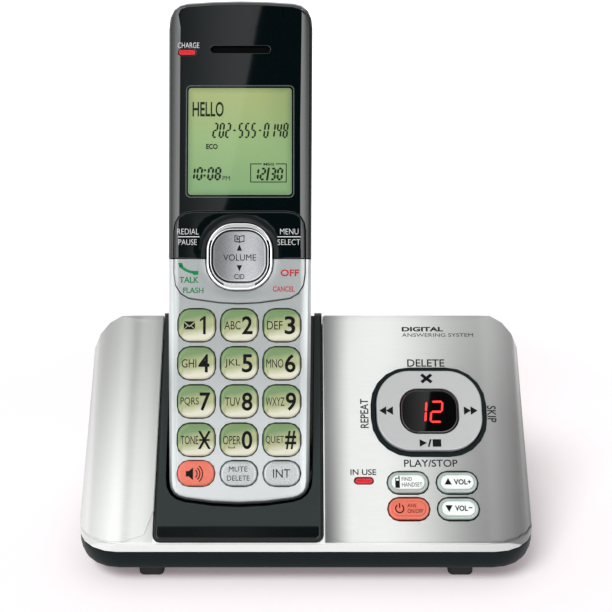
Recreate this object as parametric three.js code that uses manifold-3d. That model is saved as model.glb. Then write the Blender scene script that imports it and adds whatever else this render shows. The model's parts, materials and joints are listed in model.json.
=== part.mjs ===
// Cordless telephone standing in the cradle of its digital answering base.
// Millimetres, +Z up, +X to the right and +Y away from the viewer, origin under the middle of the base.
import * as THREE from "three";
import { mergeVertices } from "three/addons/utils/BufferGeometryUtils.js";
import Module from "manifold-3d";

const wasm = await Module();
wasm.setup();

// Base housing
const baseWidth = 154.4;
const baseDepth = 98;
const undersideHeight = 5;
const seamHeight = 12.8;
const faceFootHeight = 15.7;
const faceLength = 81.6;
const faceSlope = THREE.MathUtils.degToRad(47);
const backSlope = THREE.MathUtils.degToRad(46);
const ridgeRadius = 3.2;
const planCornerRadius = 15;
const planCornerSteps = 5;
const sideRollWidth = 17;
const sideRollDepth = 14;
const shellWall = 2;
const bottomEdgeTaper = 2.6;
const bottomEdgeRise = 5.5;
const tongueHeight = 1.4;
const tongueWall = 1;
const fitGap = 0.3;
const overrun = 20;

// Raised brushed panels on the face
const panelStep = 0.4;
const panelFootRise = 0.6;
const leftPanelTrayGap = 0.4;
const leftPanelCornerRadius = 5.5;
const rightPanelTrayGap = 0.7;
const rightPanelCornerRadius = 7.2;

// Feet
const footInsetX = 24.8;
const footSetback = 4.6;
const footWidth = 8.4;
const footDepth = 9;
const footTaper = 0.9;
const footCornerRadius = 1.8;

// Cradle tray and the pocket for the handset
const trayWidth = 56.1;
const trayFootDistance = 1;
const trayRise = 0.9;
const trayRoll = 1.4;
const trayCornerRadius = 2.2;
const trayDepth = 8.5;
const trayWall = 1.8;
const lipDistance = 14;
const pocketSideGap = 1.1;
const pocketBackGap = 0.6;
const pocketWall = 1.8;
const contactSpacing = 16;
const contactWidth = 3;
const contactDepth = 3;
const contactLength = 5;

// Message ring key on the face, whose place across counts from the base's side
const ringSideGap = 15.2;
const ringCentreDistance = 45.2;
const bezelWidth = 39.4;
const bezelHeight = 31.2;
const bezelCornerRadius = 13.2;
const bezelBand = 1.3;
const bezelFlange = 0.6;
const bezelFlangeThickness = 1.2;
const bezelRise = 0.25;
const ringKeyGap = 0.45;
const ringKeyRise = 2.3;
const ringKeyBottomDepth = 3.1;
const ringKeyRoll = 0.5;
const windowWidth = 20.3;
const windowHeight = 16.1;
const windowCornerRadius = 6;
const windowGap = 0.4;
const windowRise = 2;
const lensThickness = 2.4;
const lensRoll = 0.6;
const ringMatBand = 4.4;
const ringMatInset = 2.2;
const ringMatKeyGap = 0.5;
const ringMatBoardGap = 0.6;
const displayBorder = 1.9;

// The four keys and the light under the ring
const baseKeyWidth = 13.9;
const baseKeyHeight = 7.6;
const baseKeyRimBand = 1.1;
const baseKeyRimRise = 0.7;
const baseKeyCapRise = 1.5;
const baseKeyRoll = 0.5;
const baseKeyFlange = 0.6;
const baseKeyFlangeThickness = 0.8;
const baseKeyTravel = 0.8;
const baseKeyGap = 0.3;
const upperKeyDistance = 20.5;
const lowerKeyDistance = 11.7;
const baseKeyPitchX = 16.5;
const baseKeysOffsetX = 0.25;
const inUseDistance = 21.2;
const inUseWidth = 6.2;
const inUseHeight = 2;
const inUseRise = 0.35;

// Boards, jacks and loudspeaker of the base
const boardThickness = 1.6;
const mainBoardDepth = 9.4;
const mainBoardTrayGap = 3.4;
const mainBoardRingReach = 16.7;
const mainBoardFootDistance = 2;
const mainBoardHeadDistance = 67;
const boardPostRadius = 2.2;
const boardPostInset = 2.6;
const matThickness = 1;
const matBorder = 3;
const jackBoardWidth = 46;
const jackBoardDepth = 24;
const jackBoardOffsetX = 8.3;
const lineJackWidth = 13.6;
const lineJackHeight = 11;
const lineJackLength = 15;
const lineSocketWidth = 9.8;
const lineSocketHeight = 6.8;
const lineSocketDepth = 12;
const lineJackOffsetX = 10;
const powerJackOffsetX = 13;
const powerJackSize = 10;
const powerJackLength = 13;
const powerSocketRadius = 3.1;
const powerSocketDepth = 9.5;
const powerPinRadius = 1;
const jackRecess = 0.6;
const latchWayWidth = 4.6;
const latchWayDepth = 1.4;
const chipSide = 14;
const chipThickness = 1.2;
const speakerRadius = 18;
const speakerRimHeight = 2;
const speakerConeRadius = 12;
const speakerBasketHeight = 5;
const speakerMagnetRadius = 8;
const speakerHeight = 11;
const speakerOffsetX = 1.7;
const speakerY = 6;
const speakerSlotCount = 6;
const speakerSlotWidth = 2.2;
const speakerSlotPitch = 4.6;
const bossRadius = 3.4;
const bossBoreRadius = 1.3;
const bossInsetX = 11;
const bossInsetY = 17;
const bossBoreDepth = 8.8;
const screwHeadRadius = 2.6;
const screwHeadDepth = 2.6;

// Shapes given as shares: a rounded edge's middle point, how round a capsule's ends are, a loudspeaker's
// cone, the places along the handset where its back bends and where it is level, the part of the room
// beside the cradle and the ring that the left wing takes, the in-use light's place between those two,
// and the places of the earpiece and the charge light between the display and the head
const rollShare = 0.3;
const capsuleShare = 0.98;
const coneShare = 0.5;
const coneDepthShare = 0.7;
const footCurveShares = [0.05, 0.2];
const headCurveShares = [0.76, 0.9];
const leftWingShare = 0.611;
const inUseShare = 0.8176;
const earpieceShare = 0.3656;
const chargeLightShare = 0.3297;

// Handset
const handsetLean = THREE.MathUtils.degToRad(65);
const handsetHeadRoom = 27.9;
const handsetFootDrop = 1.2;
const handsetThickness = 25;
const handsetFootHalfWidth = 23.6;
const handsetWaistHalfWidth = 24.5;
const handsetHeadHalfWidth = 24.8;
const footCornerReach = 5.5;
const headCornerReachX = 6.5;
const headCornerReachY = 8.5;
const footBow = 1.6;
const headBow = 0.8;
const caseSeamDepth = 11.15;
const frontRoll = 2.4;
const frontRollDepth = 3;
const backRoll = 6;
const backRollDepth = 7.5;
const backRollSteps = 3;
const endRoll = 3;
const footThickness = 19;
const headThickness = 16.5;
const handsetWall = 1.7;

// Screen, earpiece and charge light of the handset
const screenWidth = 36.1;
const screenHeight = 37.8;
const screenClusterGap = 5.3;
const screenCornerRadius = 1.2;
const screenLensThickness = 1;
const screenLedge = 1.5;
const moduleThickness = 3.7;
const lcdWidth = 40;
const lcdHeight = 43;
const earpieceWidth = 20.6;
const earpieceHeight = 2.6;
const receiverRadius = 8;
const chargeLightInset = 6.65;
const chargeLightWidth = 5.7;
const chargeLightHeight = 1.7;
const lightRise = 0.15;

// Control cluster of the handset
const clusterWidth = 44.1;
const clusterKeyGap = 1.9;
const clusterFootReach = 15.15;
const clusterHeadReach = 15.85;
const clusterHeadRadius = 6.4;
const clusterFootRadius = 9;
const clusterFootBow = 1.2;
const clusterRecessDepth = 3.4;
const dishReach = 3.2;
const dishDepth = 0.6;
const pivotRibWidth = 1.2;
const pivotRibLength = 2.6;
const shelfThickness = 1.2;
const rockerRise = 0.8;
const rockerRoll = 0.4;
const rockerThickness = 2.9;
const rockerGap = 0.35;
const navCentreLift = 0.65;
const navRingWidth = 22.5;
const navRingHeight = 22.8;
const navRingRadius = 9.4;
const navRingBandX = 1.8;
const navRingBandY = 2.4;
const navRingRise = 1.5;
const navRingRoll = 0.7;
const navKeyGap = 0.4;
const navKeyRise = 1.2;
const navKeyRoll = 0.5;
const navKeyBottomDepth = 3.8;

// Keypad of the handset
const dialKeyWidth = 12.6;
const dialKeyHeight = 11;
const dialKeyRadius = 4;
const dialKeyRise = 0.9;
const functionKeyWidth = 12.4;
const functionKeyHeight = 8.4;
const functionKeyRadius = 3.9;
const keyRoll = 0.5;
const keyGap = 0.3;
const keyFlange = 0.4;
const keyFlangeThickness = 0.8;
const keyTravel = 0.8;
const columnPitch = 14.35;
const rowPitch = 12.8;
const functionRowHeight = 9.5;
const functionRowPitch = 11.2;
const dialRowCount = 4;

// Inside of the handset
const handsetMatThickness = 0.8;
const handsetMatHalfWidth = 20.6;
const handsetMatFootHeight = 5.4;
const handsetMatHeadInset = 1.5;
const matPadInset = 2;
const handsetBoardThickness = 1.2;
const handsetBoardHalfWidth = 20.4;
const handsetBoardFootHeight = 4.4;
const handsetBoardHeadHeight = 161;
const shieldWidth = 24;
const shieldLength = 30;
const shieldThickness = 2.4;
const shieldCentreHeight = 134;
const cellRadius = 5.1;
const cellLength = 44.5;
const cellPitch = 10.4;
const batteryCoverInset = 5;
const batteryClearance = 0.5;
const compartmentWall = 1.2;
const batteryFrameHeight = 5.4;
const coverWidth = 33;
const coverFootHeight = 67;
const coverHeight = 58;
const coverCornerRadius = 4;
const coverThickness = 1.4;
const coverLedge = 1.6;
const coverLedgeThickness = 1.4;
const ringerRadius = 9;
const ringerThickness = 4;
const ringerCentreHeight = 141;
const ringerSlotCount = 4;
const ringerSlotWidth = 1.4;
const ringerSlotPitch = 3;
const ringerSlotLength = 12;
const ringerTopDepth = 16.6;
const ringerCollarWall = 1.2;
const ringerCollarOverlap = 2.4;
const microphoneRadius = 2.2;
const microphoneThickness = 1.8;
const microphoneHeight = 6;
const padWidth = 5;
const padDepth = 4;
const padThickness = 0.8;
const padRecess = 0.9;
const padCentreDepth = 15.5;

// Places across the base: the ring keeps its distance from the right side, and the cradle shares the rest
const ringCentreX = baseWidth / 2 - ringSideGap - bezelWidth / 2;
const faceRoom = baseWidth - ringSideGap - bezelWidth - trayWidth;
const trayLeftX = leftWingShare * faceRoom - baseWidth / 2;
const trayRightX = trayLeftX + trayWidth;
const trayCentreX = trayLeftX + trayWidth / 2;
const leftPanelInnerX = trayLeftX - leftPanelTrayGap;
const rightPanelInnerX = trayRightX + rightPanelTrayGap;
const leftKeyX = ringCentreX + baseKeysOffsetX - baseKeyPitchX / 2;
const rightKeyX = leftKeyX + baseKeyPitchX;
const inUseX = trayRightX + inUseShare * (ringCentreX - bezelWidth / 2 - trayRightX);
const mainBoardLeftX = trayRightX + mainBoardTrayGap;
const mainBoardRightX = ringCentreX + mainBoardRingReach;
const jackBoardCentreX = ringCentreX - jackBoardOffsetX;
const lineJackX = jackBoardCentreX - lineJackOffsetX;
const powerJackX = jackBoardCentreX + powerJackOffsetX;
const speakerX = ringCentreX + speakerOffsetX;

// Places along the handset, from the keys at its foot up to its head
const bottomDialRowHeight = functionRowHeight + functionRowPitch;
const topDialRowHeight = bottomDialRowHeight + (dialRowCount - 1) * rowPitch;
const clusterFootHeight = topDialRowHeight + dialKeyHeight / 2 + clusterKeyGap;
const splitHeight = clusterFootHeight + clusterFootReach;
const navCentreHeight = splitHeight + navCentreLift;
const clusterHeadHeight = splitHeight + clusterHeadReach;
const screenCentreHeight = clusterHeadHeight + screenClusterGap + screenHeight / 2;
const displayHeadHeight = screenCentreHeight + lcdHeight / 2;
const handsetLength = displayHeadHeight + handsetHeadRoom + handsetFootDrop;
const earpieceCentreHeight = displayHeadHeight + earpieceShare * handsetHeadRoom;
const chargeLightCentreHeight = displayHeadHeight + chargeLightShare * handsetHeadRoom;
const handsetMatHeadHeight = clusterHeadHeight - handsetMatHeadInset;
const batteryFootHeight = coverFootHeight + batteryCoverInset;
const coverHeadHeight = coverFootHeight + coverHeight;
const chargeLightX = chargeLightInset - handsetHeadHalfWidth;

// Materials
function plastic(colour, roughness) {
  return new THREE.MeshStandardMaterial({ color: colour, roughness, metalness: 0 });
}
function metal(colour, roughness) {
  return new THREE.MeshStandardMaterial({ color: colour, roughness, metalness: 1 });
}
const silverPlastic = plastic(0xd3d4d3, 0.35);
const brightSilverPlastic = plastic(0xe6e8e8, 0.3);
const darkPlastic = plastic(0x1e2a2b, 0.45);
const slatePlastic = plastic(0x323a38, 0.6);
const glossBlackPlastic = plastic(0x0a1618, 0.12);
const blackRubber = plastic(0x101212, 0.85);
const greyRubber = plastic(0x8b9090, 0.8);
const whiteKeyPlastic = plastic(0xe8ecea, 0.3);
const orangeKeyPlastic = plastic(0xe16e52, 0.35);
const limeKeyPlastic = plastic(0xc3d08d, 0.3);
const greyKeyPlastic = plastic(0xa9b0b0, 0.3);
const redLightPlastic = plastic(0xd71e28, 0.25);
const screenPlastic = plastic(0xafc98a, 0.15);
const boardLaminate = plastic(0x1f6b3a, 0.55);
const jackPlastic = plastic(0x17191a, 0.5);
const contactMetal = metal(0xd8b45a, 0.25);
const chromeMetal = metal(0xdfe2e4, 0.08);
const steelMetal = metal(0x9a9c9e, 0.35);
const batterySleeve = plastic(0x3a6ea8, 0.4);

// Solids from geometry, and geometry from solids
function solidOf(geometry, matrix = new THREE.Matrix4()) {
  const bare = geometry.clone();
  bare.deleteAttribute("normal");
  bare.deleteAttribute("uv");
  bare.applyMatrix4(matrix);
  const merged = mergeVertices(bare, 1e-4);
  return new wasm.Manifold(
    new wasm.Mesh({
      numProp: 3,
      vertProperties: merged.attributes.position.array,
      triVerts: new Uint32Array(merged.index.array),
    }),
  );
}
function geometryOf(solid) {
  const mesh = solid.getMesh();
  const geometry = new THREE.BufferGeometry();
  geometry.setAttribute("position", new THREE.BufferAttribute(mesh.vertProperties, 3));
  geometry.setIndex(new THREE.BufferAttribute(mesh.triVerts, 1));
  geometry.computeVertexNormals();
  return geometry;
}
function named(name, solid, material) {
  const mesh = new THREE.Mesh(geometryOf(solid), material);
  mesh.name = name;
  return mesh;
}
function union(solids) {
  return solids.reduce((sum, solid) => sum.add(solid));
}

// Flat outlines, centred on the origin unless a centre is given
function roundedRectangle(width, height, radius, centreX = 0, centreY = 0, steps = 3) {
  const x = width / 2 - radius;
  const y = height / 2 - radius;
  const points = [];
  [[x, -y], [x, y], [-x, y], [-x, -y]].forEach(([cornerX, cornerY], corner) => {
    for (let step = 0; step <= steps; step += 1) {
      const angle = (corner - 1 + step / steps) * (Math.PI / 2);
      points.push([
        centreX + cornerX + radius * Math.cos(angle),
        centreY + cornerY + radius * Math.sin(angle),
      ]);
    }
  });
  return polygon(points);
}
function polygon(points) {
  const shape = new THREE.Shape(points.map(([x, y]) => new THREE.Vector2(x, y)));
  shape.closePath();
  return shape;
}

// A prism from one height to another, drawn in by roll over the rollDepth at each end that has one
function prism(shape, from, to, { roll = 0, rollDepth = roll, steps = 3, corner = 2 } = {}) {
  const geometry = new THREE.ExtrudeGeometry(shape, {
    depth: to - from - 2 * rollDepth,
    bevelEnabled: roll > 0,
    bevelSize: roll,
    bevelOffset: -roll,
    bevelThickness: rollDepth,
    bevelSegments: steps,
    curveSegments: corner,
  });
  geometry.translate(0, 0, from + rollDepth);
  return geometry;
}
function block(lowX, lowY, lowZ, highX, highY, highZ) {
  const geometry = new THREE.BoxGeometry(highX - lowX, highY - lowY, highZ - lowZ);
  geometry.translate((lowX + highX) / 2, (lowY + highY) / 2, (lowZ + highZ) / 2);
  return geometry;
}

// A solid through a stack of rings, each an outline of as many points at its own height
function stack(rings) {
  const positions = [];
  const outlines = rings.map(({ shape }) => shape.getPoints().slice(0, -1));
  const count = outlines[0].length;
  rings.forEach(({ height }, level) => {
    outlines[level].forEach((point) => positions.push(point.x, point.y, height));
  });
  const index = [];
  for (let level = 0; level + 1 < rings.length; level += 1) {
    for (let side = 0; side < count; side += 1) {
      const here = level * count + side;
      const next = level * count + ((side + 1) % count);
      index.push(here, next, next + count, here, next + count, here + count);
    }
  }
  const top = (rings.length - 1) * count;
  THREE.ShapeUtils.triangulateShape(outlines[0], []).forEach(([a, b, c]) => index.push(a, c, b));
  THREE.ShapeUtils.triangulateShape(outlines.at(-1), []).forEach(([a, b, c]) => {
    index.push(top + a, top + b, top + c);
  });
  const geometry = new THREE.BufferGeometry();
  geometry.setAttribute("position", new THREE.Float32BufferAttribute(positions, 3));
  geometry.setIndex(index);
  return geometry;
}

// Frames: profiles run across the object, the face frame lies on the sloping face, and the handset
// frame has its origin where the handset's front leaves the pocket
const profileFrame = new THREE.Matrix4().makeBasis(
  new THREE.Vector3(0, 1, 0),
  new THREE.Vector3(0, 0, 1),
  new THREE.Vector3(1, 0, 0),
);
const baseFront = -baseDepth / 2;
const baseBack = baseDepth / 2;
const lipY = baseFront + lipDistance * Math.cos(faceSlope);
const lipZ = faceFootHeight + lipDistance * Math.sin(faceSlope);
const faceFrame = new THREE.Matrix4()
  .makeTranslation(0, baseFront, faceFootHeight)
  .multiply(new THREE.Matrix4().makeRotationX(faceSlope));
const handsetFrame = new THREE.Matrix4()
  .makeTranslation(trayCentreX, lipY, lipZ)
  .multiply(new THREE.Matrix4().makeRotationX(handsetLean));

// Where two lines of the side profile meet, each given by a point and a slope angle
function meeting(pointA, angleA, pointB, angleB) {
  const directionA = new THREE.Vector2(Math.cos(angleA), Math.sin(angleA));
  const directionB = new THREE.Vector2(Math.cos(angleB), Math.sin(angleB));
  const between = pointB.clone().sub(pointA);
  const along = between.cross(directionB) / directionA.cross(directionB);
  return pointA.clone().addScaledVector(directionA, along);
}

// The housing's outer form, or a form that lies inside it by the inset, from a low height upwards
function housing(inset, low, steps = planCornerSteps) {
  const apex = new THREE.Vector2(
    baseFront + faceLength * Math.cos(faceSlope),
    faceFootHeight + faceLength * Math.sin(faceSlope),
  );
  const faceNormal = new THREE.Vector2(Math.sin(faceSlope), -Math.cos(faceSlope));
  const backNormal = new THREE.Vector2(-Math.sin(backSlope), -Math.cos(backSlope));
  const onFace = apex.clone().addScaledVector(faceNormal, inset);
  const onBack = apex.clone().addScaledVector(backNormal, inset);
  const ridge = meeting(onFace, faceSlope, onBack, -backSlope);
  const foot = new THREE.Vector2(0, -sideRollDepth - overrun);
  const frontFoot = meeting(onFace, faceSlope, foot, 0);
  const backFoot = meeting(onBack, -backSlope, foot, 0);
  const halfWidth = baseWidth / 2 - inset;
  const rolled = prism(new THREE.Shape([frontFoot, backFoot, ridge]), -halfWidth, halfWidth, {
    roll: sideRollDepth,
    rollDepth: sideRollWidth,
    steps,
  });
  const radius = ridgeRadius - Math.min(inset, ridgeRadius / 2);
  const reach = radius / Math.tan((Math.PI - faceSlope - backSlope) / 2);
  const rounded = new THREE.Shape();
  rounded.moveTo(frontFoot.x, frontFoot.y);
  rounded.lineTo(backFoot.x, backFoot.y);
  rounded.lineTo(ridge.x + reach * Math.cos(backSlope), ridge.y - reach * Math.sin(backSlope));
  rounded.quadraticCurveTo(
    ridge.x,
    ridge.y,
    ridge.x - reach * Math.cos(faceSlope),
    ridge.y - reach * Math.sin(faceSlope),
  );
  rounded.closePath();
  const corner = planCornerRadius - inset;
  const plan = roundedRectangle(2 * halfWidth, baseDepth - 2 * inset, corner, 0, 0, planCornerSteps);
  const top = faceFootHeight + faceLength + overrun;
  return solidOf(rolled, profileFrame)
    .intersect(solidOf(prism(rounded, -baseWidth, baseWidth, { corner: 4 }), profileFrame))
    .intersect(solidOf(prism(plan, low, top)));
}

// Cutters on the face, square to it
function faceCut(shape, depth, corner = 2) {
  return solidOf(prism(shape, -depth, overrun, { corner }), faceFrame);
}
function trayOutline(grow) {
  const head = faceLength + overrun;
  const foot = trayFootDistance - grow;
  return roundedRectangle(
    trayWidth + 2 * grow,
    head - foot,
    trayCornerRadius + grow,
    trayCentreX,
    (head + foot) / 2,
  );
}
function ringOutline(grow, steps = 5) {
  return roundedRectangle(
    bezelWidth + 2 * grow,
    bezelHeight + 2 * grow,
    bezelCornerRadius + grow,
    ringCentreX,
    ringCentreDistance,
    steps,
  );
}
function windowOutline(grow) {
  return roundedRectangle(
    windowWidth + 2 * grow,
    windowHeight + 2 * grow,
    windowCornerRadius + grow,
    ringCentreX,
    ringCentreDistance,
  );
}
function capsule(width, height, grow, centreX, centreY, steps = 3) {
  const radius = (height / 2) * capsuleShare + grow;
  return roundedRectangle(width + 2 * grow, height + 2 * grow, radius, centreX, centreY, steps);
}
const baseKeys = [
  { name: "find_handset_key", x: leftKeyX, distance: upperKeyDistance, material: whiteKeyPlastic },
  { name: "answer_on_off_key", x: leftKeyX, distance: lowerKeyDistance, material: orangeKeyPlastic },
  { name: "volume_up_key", x: rightKeyX, distance: upperKeyDistance, material: whiteKeyPlastic },
  { name: "volume_down_key", x: rightKeyX, distance: lowerKeyDistance, material: whiteKeyPlastic },
];

// Places that several pieces of the base share
const bossX = baseWidth / 2 - bossInsetX;
const bossY = baseDepth / 2 - bossInsetY;
const bossPlaces = [
  [-bossX, -bossY],
  [bossX, -bossY],
  [-bossX, bossY],
  [bossX, bossY],
];
const boardPostPlaces = [mainBoardLeftX + boardPostInset, mainBoardRightX - boardPostInset].flatMap((x) => [
  [x, mainBoardFootDistance + boardPostInset],
  [x, mainBoardHeadDistance - boardPostInset],
]);
const contactPlaces = [-contactSpacing / 2, contactSpacing / 2];
const jackDepthFromBack = shellWall + panelStep + fitGap + tongueWall + fitGap;
const jackBoardBackY = baseBack - jackDepthFromBack;
const jackBoardMiddleY = jackBoardBackY - jackBoardDepth / 2;
const jackFoot = seamHeight + 2 * fitGap;
const jackBoardFoot = jackFoot - fitGap - boardThickness;
const jackBackY = baseBack - jackRecess;
function jackBlock(x, width, length, height, grow, reach) {
  return solidOf(
    block(
      x - width / 2 - grow,
      jackBackY - length,
      jackFoot - grow,
      x + width / 2 + grow,
      jackBackY + reach,
      jackFoot + height + grow,
    ),
  );
}
function planOutline(inset) {
  const corner = planCornerRadius - inset;
  return roundedRectangle(baseWidth - 2 * inset, baseDepth - 2 * inset, corner, 0, 0, planCornerSteps);
}
function post(radius, from, to, x, y, sides = 12) {
  const geometry = new THREE.CylinderGeometry(radius, radius, to - from, sides);
  geometry.rotateX(Math.PI / 2);
  geometry.translate(x, y, (from + to) / 2);
  return geometry;
}

const baseWallBottom = -panelStep - shellWall - fitGap;
const contactTop = padRecess - handsetFootDrop - fitGap;

// The handset's outline seen from the front, and the line of its back seen from the side, both of which
// can be grown
const alongHandset = handsetFrame.clone().multiply(profileFrame);
function handsetOutline(side, low, high) {
  const footHalf = handsetFootHalfWidth + side;
  const waistHalf = handsetWaistHalfWidth + side;
  const headHalf = handsetHeadHalfWidth + side;
  const footReach = footCornerReach + side;
  const headReachX = headCornerReachX + side;
  const headReachY = headCornerReachY + side;
  const foot = -handsetFootDrop - low;
  const footEnd = foot + footBow;
  const footBend = footEnd + (2 * footBow * footReach) / (footHalf - footReach);
  const head = handsetLength - handsetFootDrop + high;
  const headEnd = head - headBow;
  const headBend = headEnd - (2 * headBow * headReachX) / (headHalf - headReachX);
  const shape = new THREE.Shape();
  shape.moveTo(footHalf - footReach, footEnd);
  shape.quadraticCurveTo(footHalf, footBend, footHalf, footBend + footReach);
  shape.lineTo(waistHalf, splitHeight);
  shape.lineTo(headHalf, headBend - headReachY);
  shape.quadraticCurveTo(headHalf, headBend, headHalf - headReachX, headEnd);
  shape.quadraticCurveTo(0, 2 * head - headEnd, headReachX - headHalf, headEnd);
  shape.quadraticCurveTo(-headHalf, headBend, -headHalf, headBend - headReachY);
  shape.lineTo(-waistHalf, splitHeight);
  shape.lineTo(-footHalf, footBend + footReach);
  shape.quadraticCurveTo(-footHalf, footBend, footReach - footHalf, footEnd);
  shape.quadraticCurveTo(0, 2 * foot - footEnd, footHalf - footReach, footEnd);
  return shape;
}
function backLine(inset, low, high) {
  const foot = -handsetFootDrop - low;
  const head = handsetLength - handsetFootDrop + high;
  const deepest = inset - handsetThickness;
  const footDepth = inset - footThickness;
  const headDepth = inset - headThickness;
  const footCurve = new THREE.QuadraticBezierCurve(
    new THREE.Vector2(foot + endRoll, footDepth),
    new THREE.Vector2(handsetLength * footCurveShares[0], deepest),
    new THREE.Vector2(handsetLength * footCurveShares[1], deepest),
  );
  const headCurve = new THREE.QuadraticBezierCurve(
    new THREE.Vector2(handsetLength * headCurveShares[0], deepest),
    new THREE.Vector2(handsetLength * headCurveShares[1], deepest),
    new THREE.Vector2(head - endRoll, headDepth),
  );
  return [
    new THREE.Vector2(foot, footDepth + endRoll),
    new THREE.Vector2(foot + endRoll * rollShare, footDepth + endRoll * rollShare),
    ...footCurve.getPoints(3),
    ...headCurve.getPoints(4),
    new THREE.Vector2(head - endRoll * rollShare, headDepth + endRoll * rollShare),
    new THREE.Vector2(head, headDepth + endRoll),
  ];
}
function halfWidthAt(height) {
  const [end, half] =
    height < splitHeight
      ? [-handsetFootDrop, handsetFootHalfWidth]
      : [handsetLength - handsetFootDrop, handsetHeadHalfWidth];
  return THREE.MathUtils.mapLinear(height, splitHeight, end, handsetWaistHalfWidth, half);
}

// Sections of the handset along its length, each with its back corners rolled, joined into one form
const sectionFrame = new THREE.Matrix4().makeBasis(
  new THREE.Vector3(0, 0, 1),
  new THREE.Vector3(1, 0, 0),
  new THREE.Vector3(0, 1, 0),
);
function handsetLoft(inset, front) {
  const rings = backLine(inset, -inset, -inset).map(({ x: height, y: depth }) => {
    const half = halfWidthAt(height) - inset;
    const corner = [];
    for (let step = 0; step <= backRollSteps; step += 1) {
      const angle = (step / backRollSteps) * (Math.PI / 2);
      corner.push([
        depth + (backRollDepth - inset) * (1 - Math.sin(angle)),
        half - (backRoll - inset) * (1 - Math.cos(angle)),
      ]);
    }
    const mirrored = corner.map(([z, x]) => [z, -x]).reverse();
    return { shape: polygon([[front, -half], [front, half], ...corner, ...mirrored]), height };
  });
  return solidOf(stack(rings), sectionFrame);
}
function handsetForm(inset) {
  const outline = handsetOutline(-inset, -inset, -inset);
  const rolled = prism(outline, -handsetThickness - overrun, -inset, {
    roll: frontRoll,
    rollDepth: frontRollDepth,
    corner: 4,
  });
  const flat = prism(outline, -handsetThickness - overrun, -inset);
  return handsetLoft(inset, overrun).intersect(solidOf(inset > 0 ? flat : rolled));
}
function topShell() {
  const head = faceLength + overrun;
  const cornerX = leftPanelInnerX - 2 * leftPanelCornerRadius;
  const leftPanel = new THREE.Shape();
  leftPanel.moveTo(-baseWidth, -overrun);
  leftPanel.lineTo(cornerX, -overrun);
  leftPanel.lineTo(cornerX, panelFootRise);
  leftPanel.quadraticCurveTo(leftPanelInnerX, panelFootRise, leftPanelInnerX, 2 * leftPanelCornerRadius);
  leftPanel.lineTo(leftPanelInnerX, head);
  leftPanel.lineTo(-baseWidth, head);
  leftPanel.closePath();
  const rightPanel = new THREE.Shape();
  rightPanel.moveTo(baseWidth, -overrun);
  rightPanel.lineTo(baseWidth, head);
  rightPanel.lineTo(rightPanelInnerX, head);
  rightPanel.lineTo(rightPanelInnerX, rightPanelCornerRadius);
  rightPanel.quadraticCurveTo(
    rightPanelInnerX,
    panelFootRise,
    rightPanelInnerX + rightPanelCornerRadius,
    panelFootRise,
  );
  rightPanel.lineTo(rightPanelInnerX + rightPanelCornerRadius, -overrun);
  rightPanel.closePath();
  const band = solidOf(prism(planOutline(0), seamHeight, faceFootHeight));
  const raised = housing(0, faceFootHeight + panelFootRise);
  const behindFace = roundedRectangle(2 * baseWidth, 2 * baseWidth, overrun, 0, faceLength);
  const panels = [
    faceCut(leftPanel, baseDepth),
    faceCut(rightPanel, baseDepth),
    solidOf(prism(behindFace, -baseDepth, -2 * shellWall), faceFrame),
  ].map((region) => raised.intersect(region));
  const skin = union([housing(panelStep, seamHeight), band, ...panels]);
  const tongueRoom = prism(planOutline(panelStep + shellWall), 0, seamHeight + tongueHeight + fitGap);
  const inner = housing(panelStep + shellWall, seamHeight - overrun, 4).add(solidOf(tongueRoom));
  const pillars = bossPlaces.map(([x, y]) =>
    solidOf(post(bossRadius, seamHeight, faceLength, x, y)).intersect(housing(shellWall, seamHeight)),
  );
  const bores = bossPlaces.map(([x, y]) =>
    solidOf(post(bossBoreRadius, seamHeight - overrun, seamHeight + bossBoreDepth, x, y, 6)),
  );
  const postTop = -panelStep - shellWall / 2;
  const boardPosts = boardPostPlaces.map(([x, distance]) =>
    solidOf(post(boardPostRadius, fitGap - mainBoardDepth, postTop, x, distance, 6), faceFrame),
  );
  let shell = union([skin.subtract(inner), ...pillars, ...boardPosts]);
  shell = shell.subtract(faceCut(trayOutline(fitGap), trayDepth + trayRoll + fitGap));
  shell = shell.subtract(faceCut(ringOutline(fitGap), mainBoardDepth, 3));
  const flangeRoom = prism(ringOutline(bezelFlange + fitGap), -mainBoardDepth, baseWallBottom);
  shell = shell.subtract(solidOf(flangeRoom, faceFrame));
  baseKeys.forEach(({ x, distance }) => {
    const opening = capsule(baseKeyWidth, baseKeyHeight, baseKeyGap, x, distance);
    shell = shell.subtract(faceCut(opening, mainBoardDepth));
  });
  const lightOpening = capsule(inUseWidth, inUseHeight, fitGap, inUseX, inUseDistance);
  shell = shell.subtract(faceCut(lightOpening, mainBoardDepth));
  shell = shell.subtract(
    jackBlock(lineJackX, lineJackWidth, lineJackLength, lineJackHeight, fitGap, overrun),
  );
  shell = shell.subtract(
    jackBlock(powerJackX, powerJackSize, powerJackLength, powerJackSize, fitGap, overrun),
  );
  return bores.reduce((rest, bore) => rest.subtract(bore), shell);
}

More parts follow.
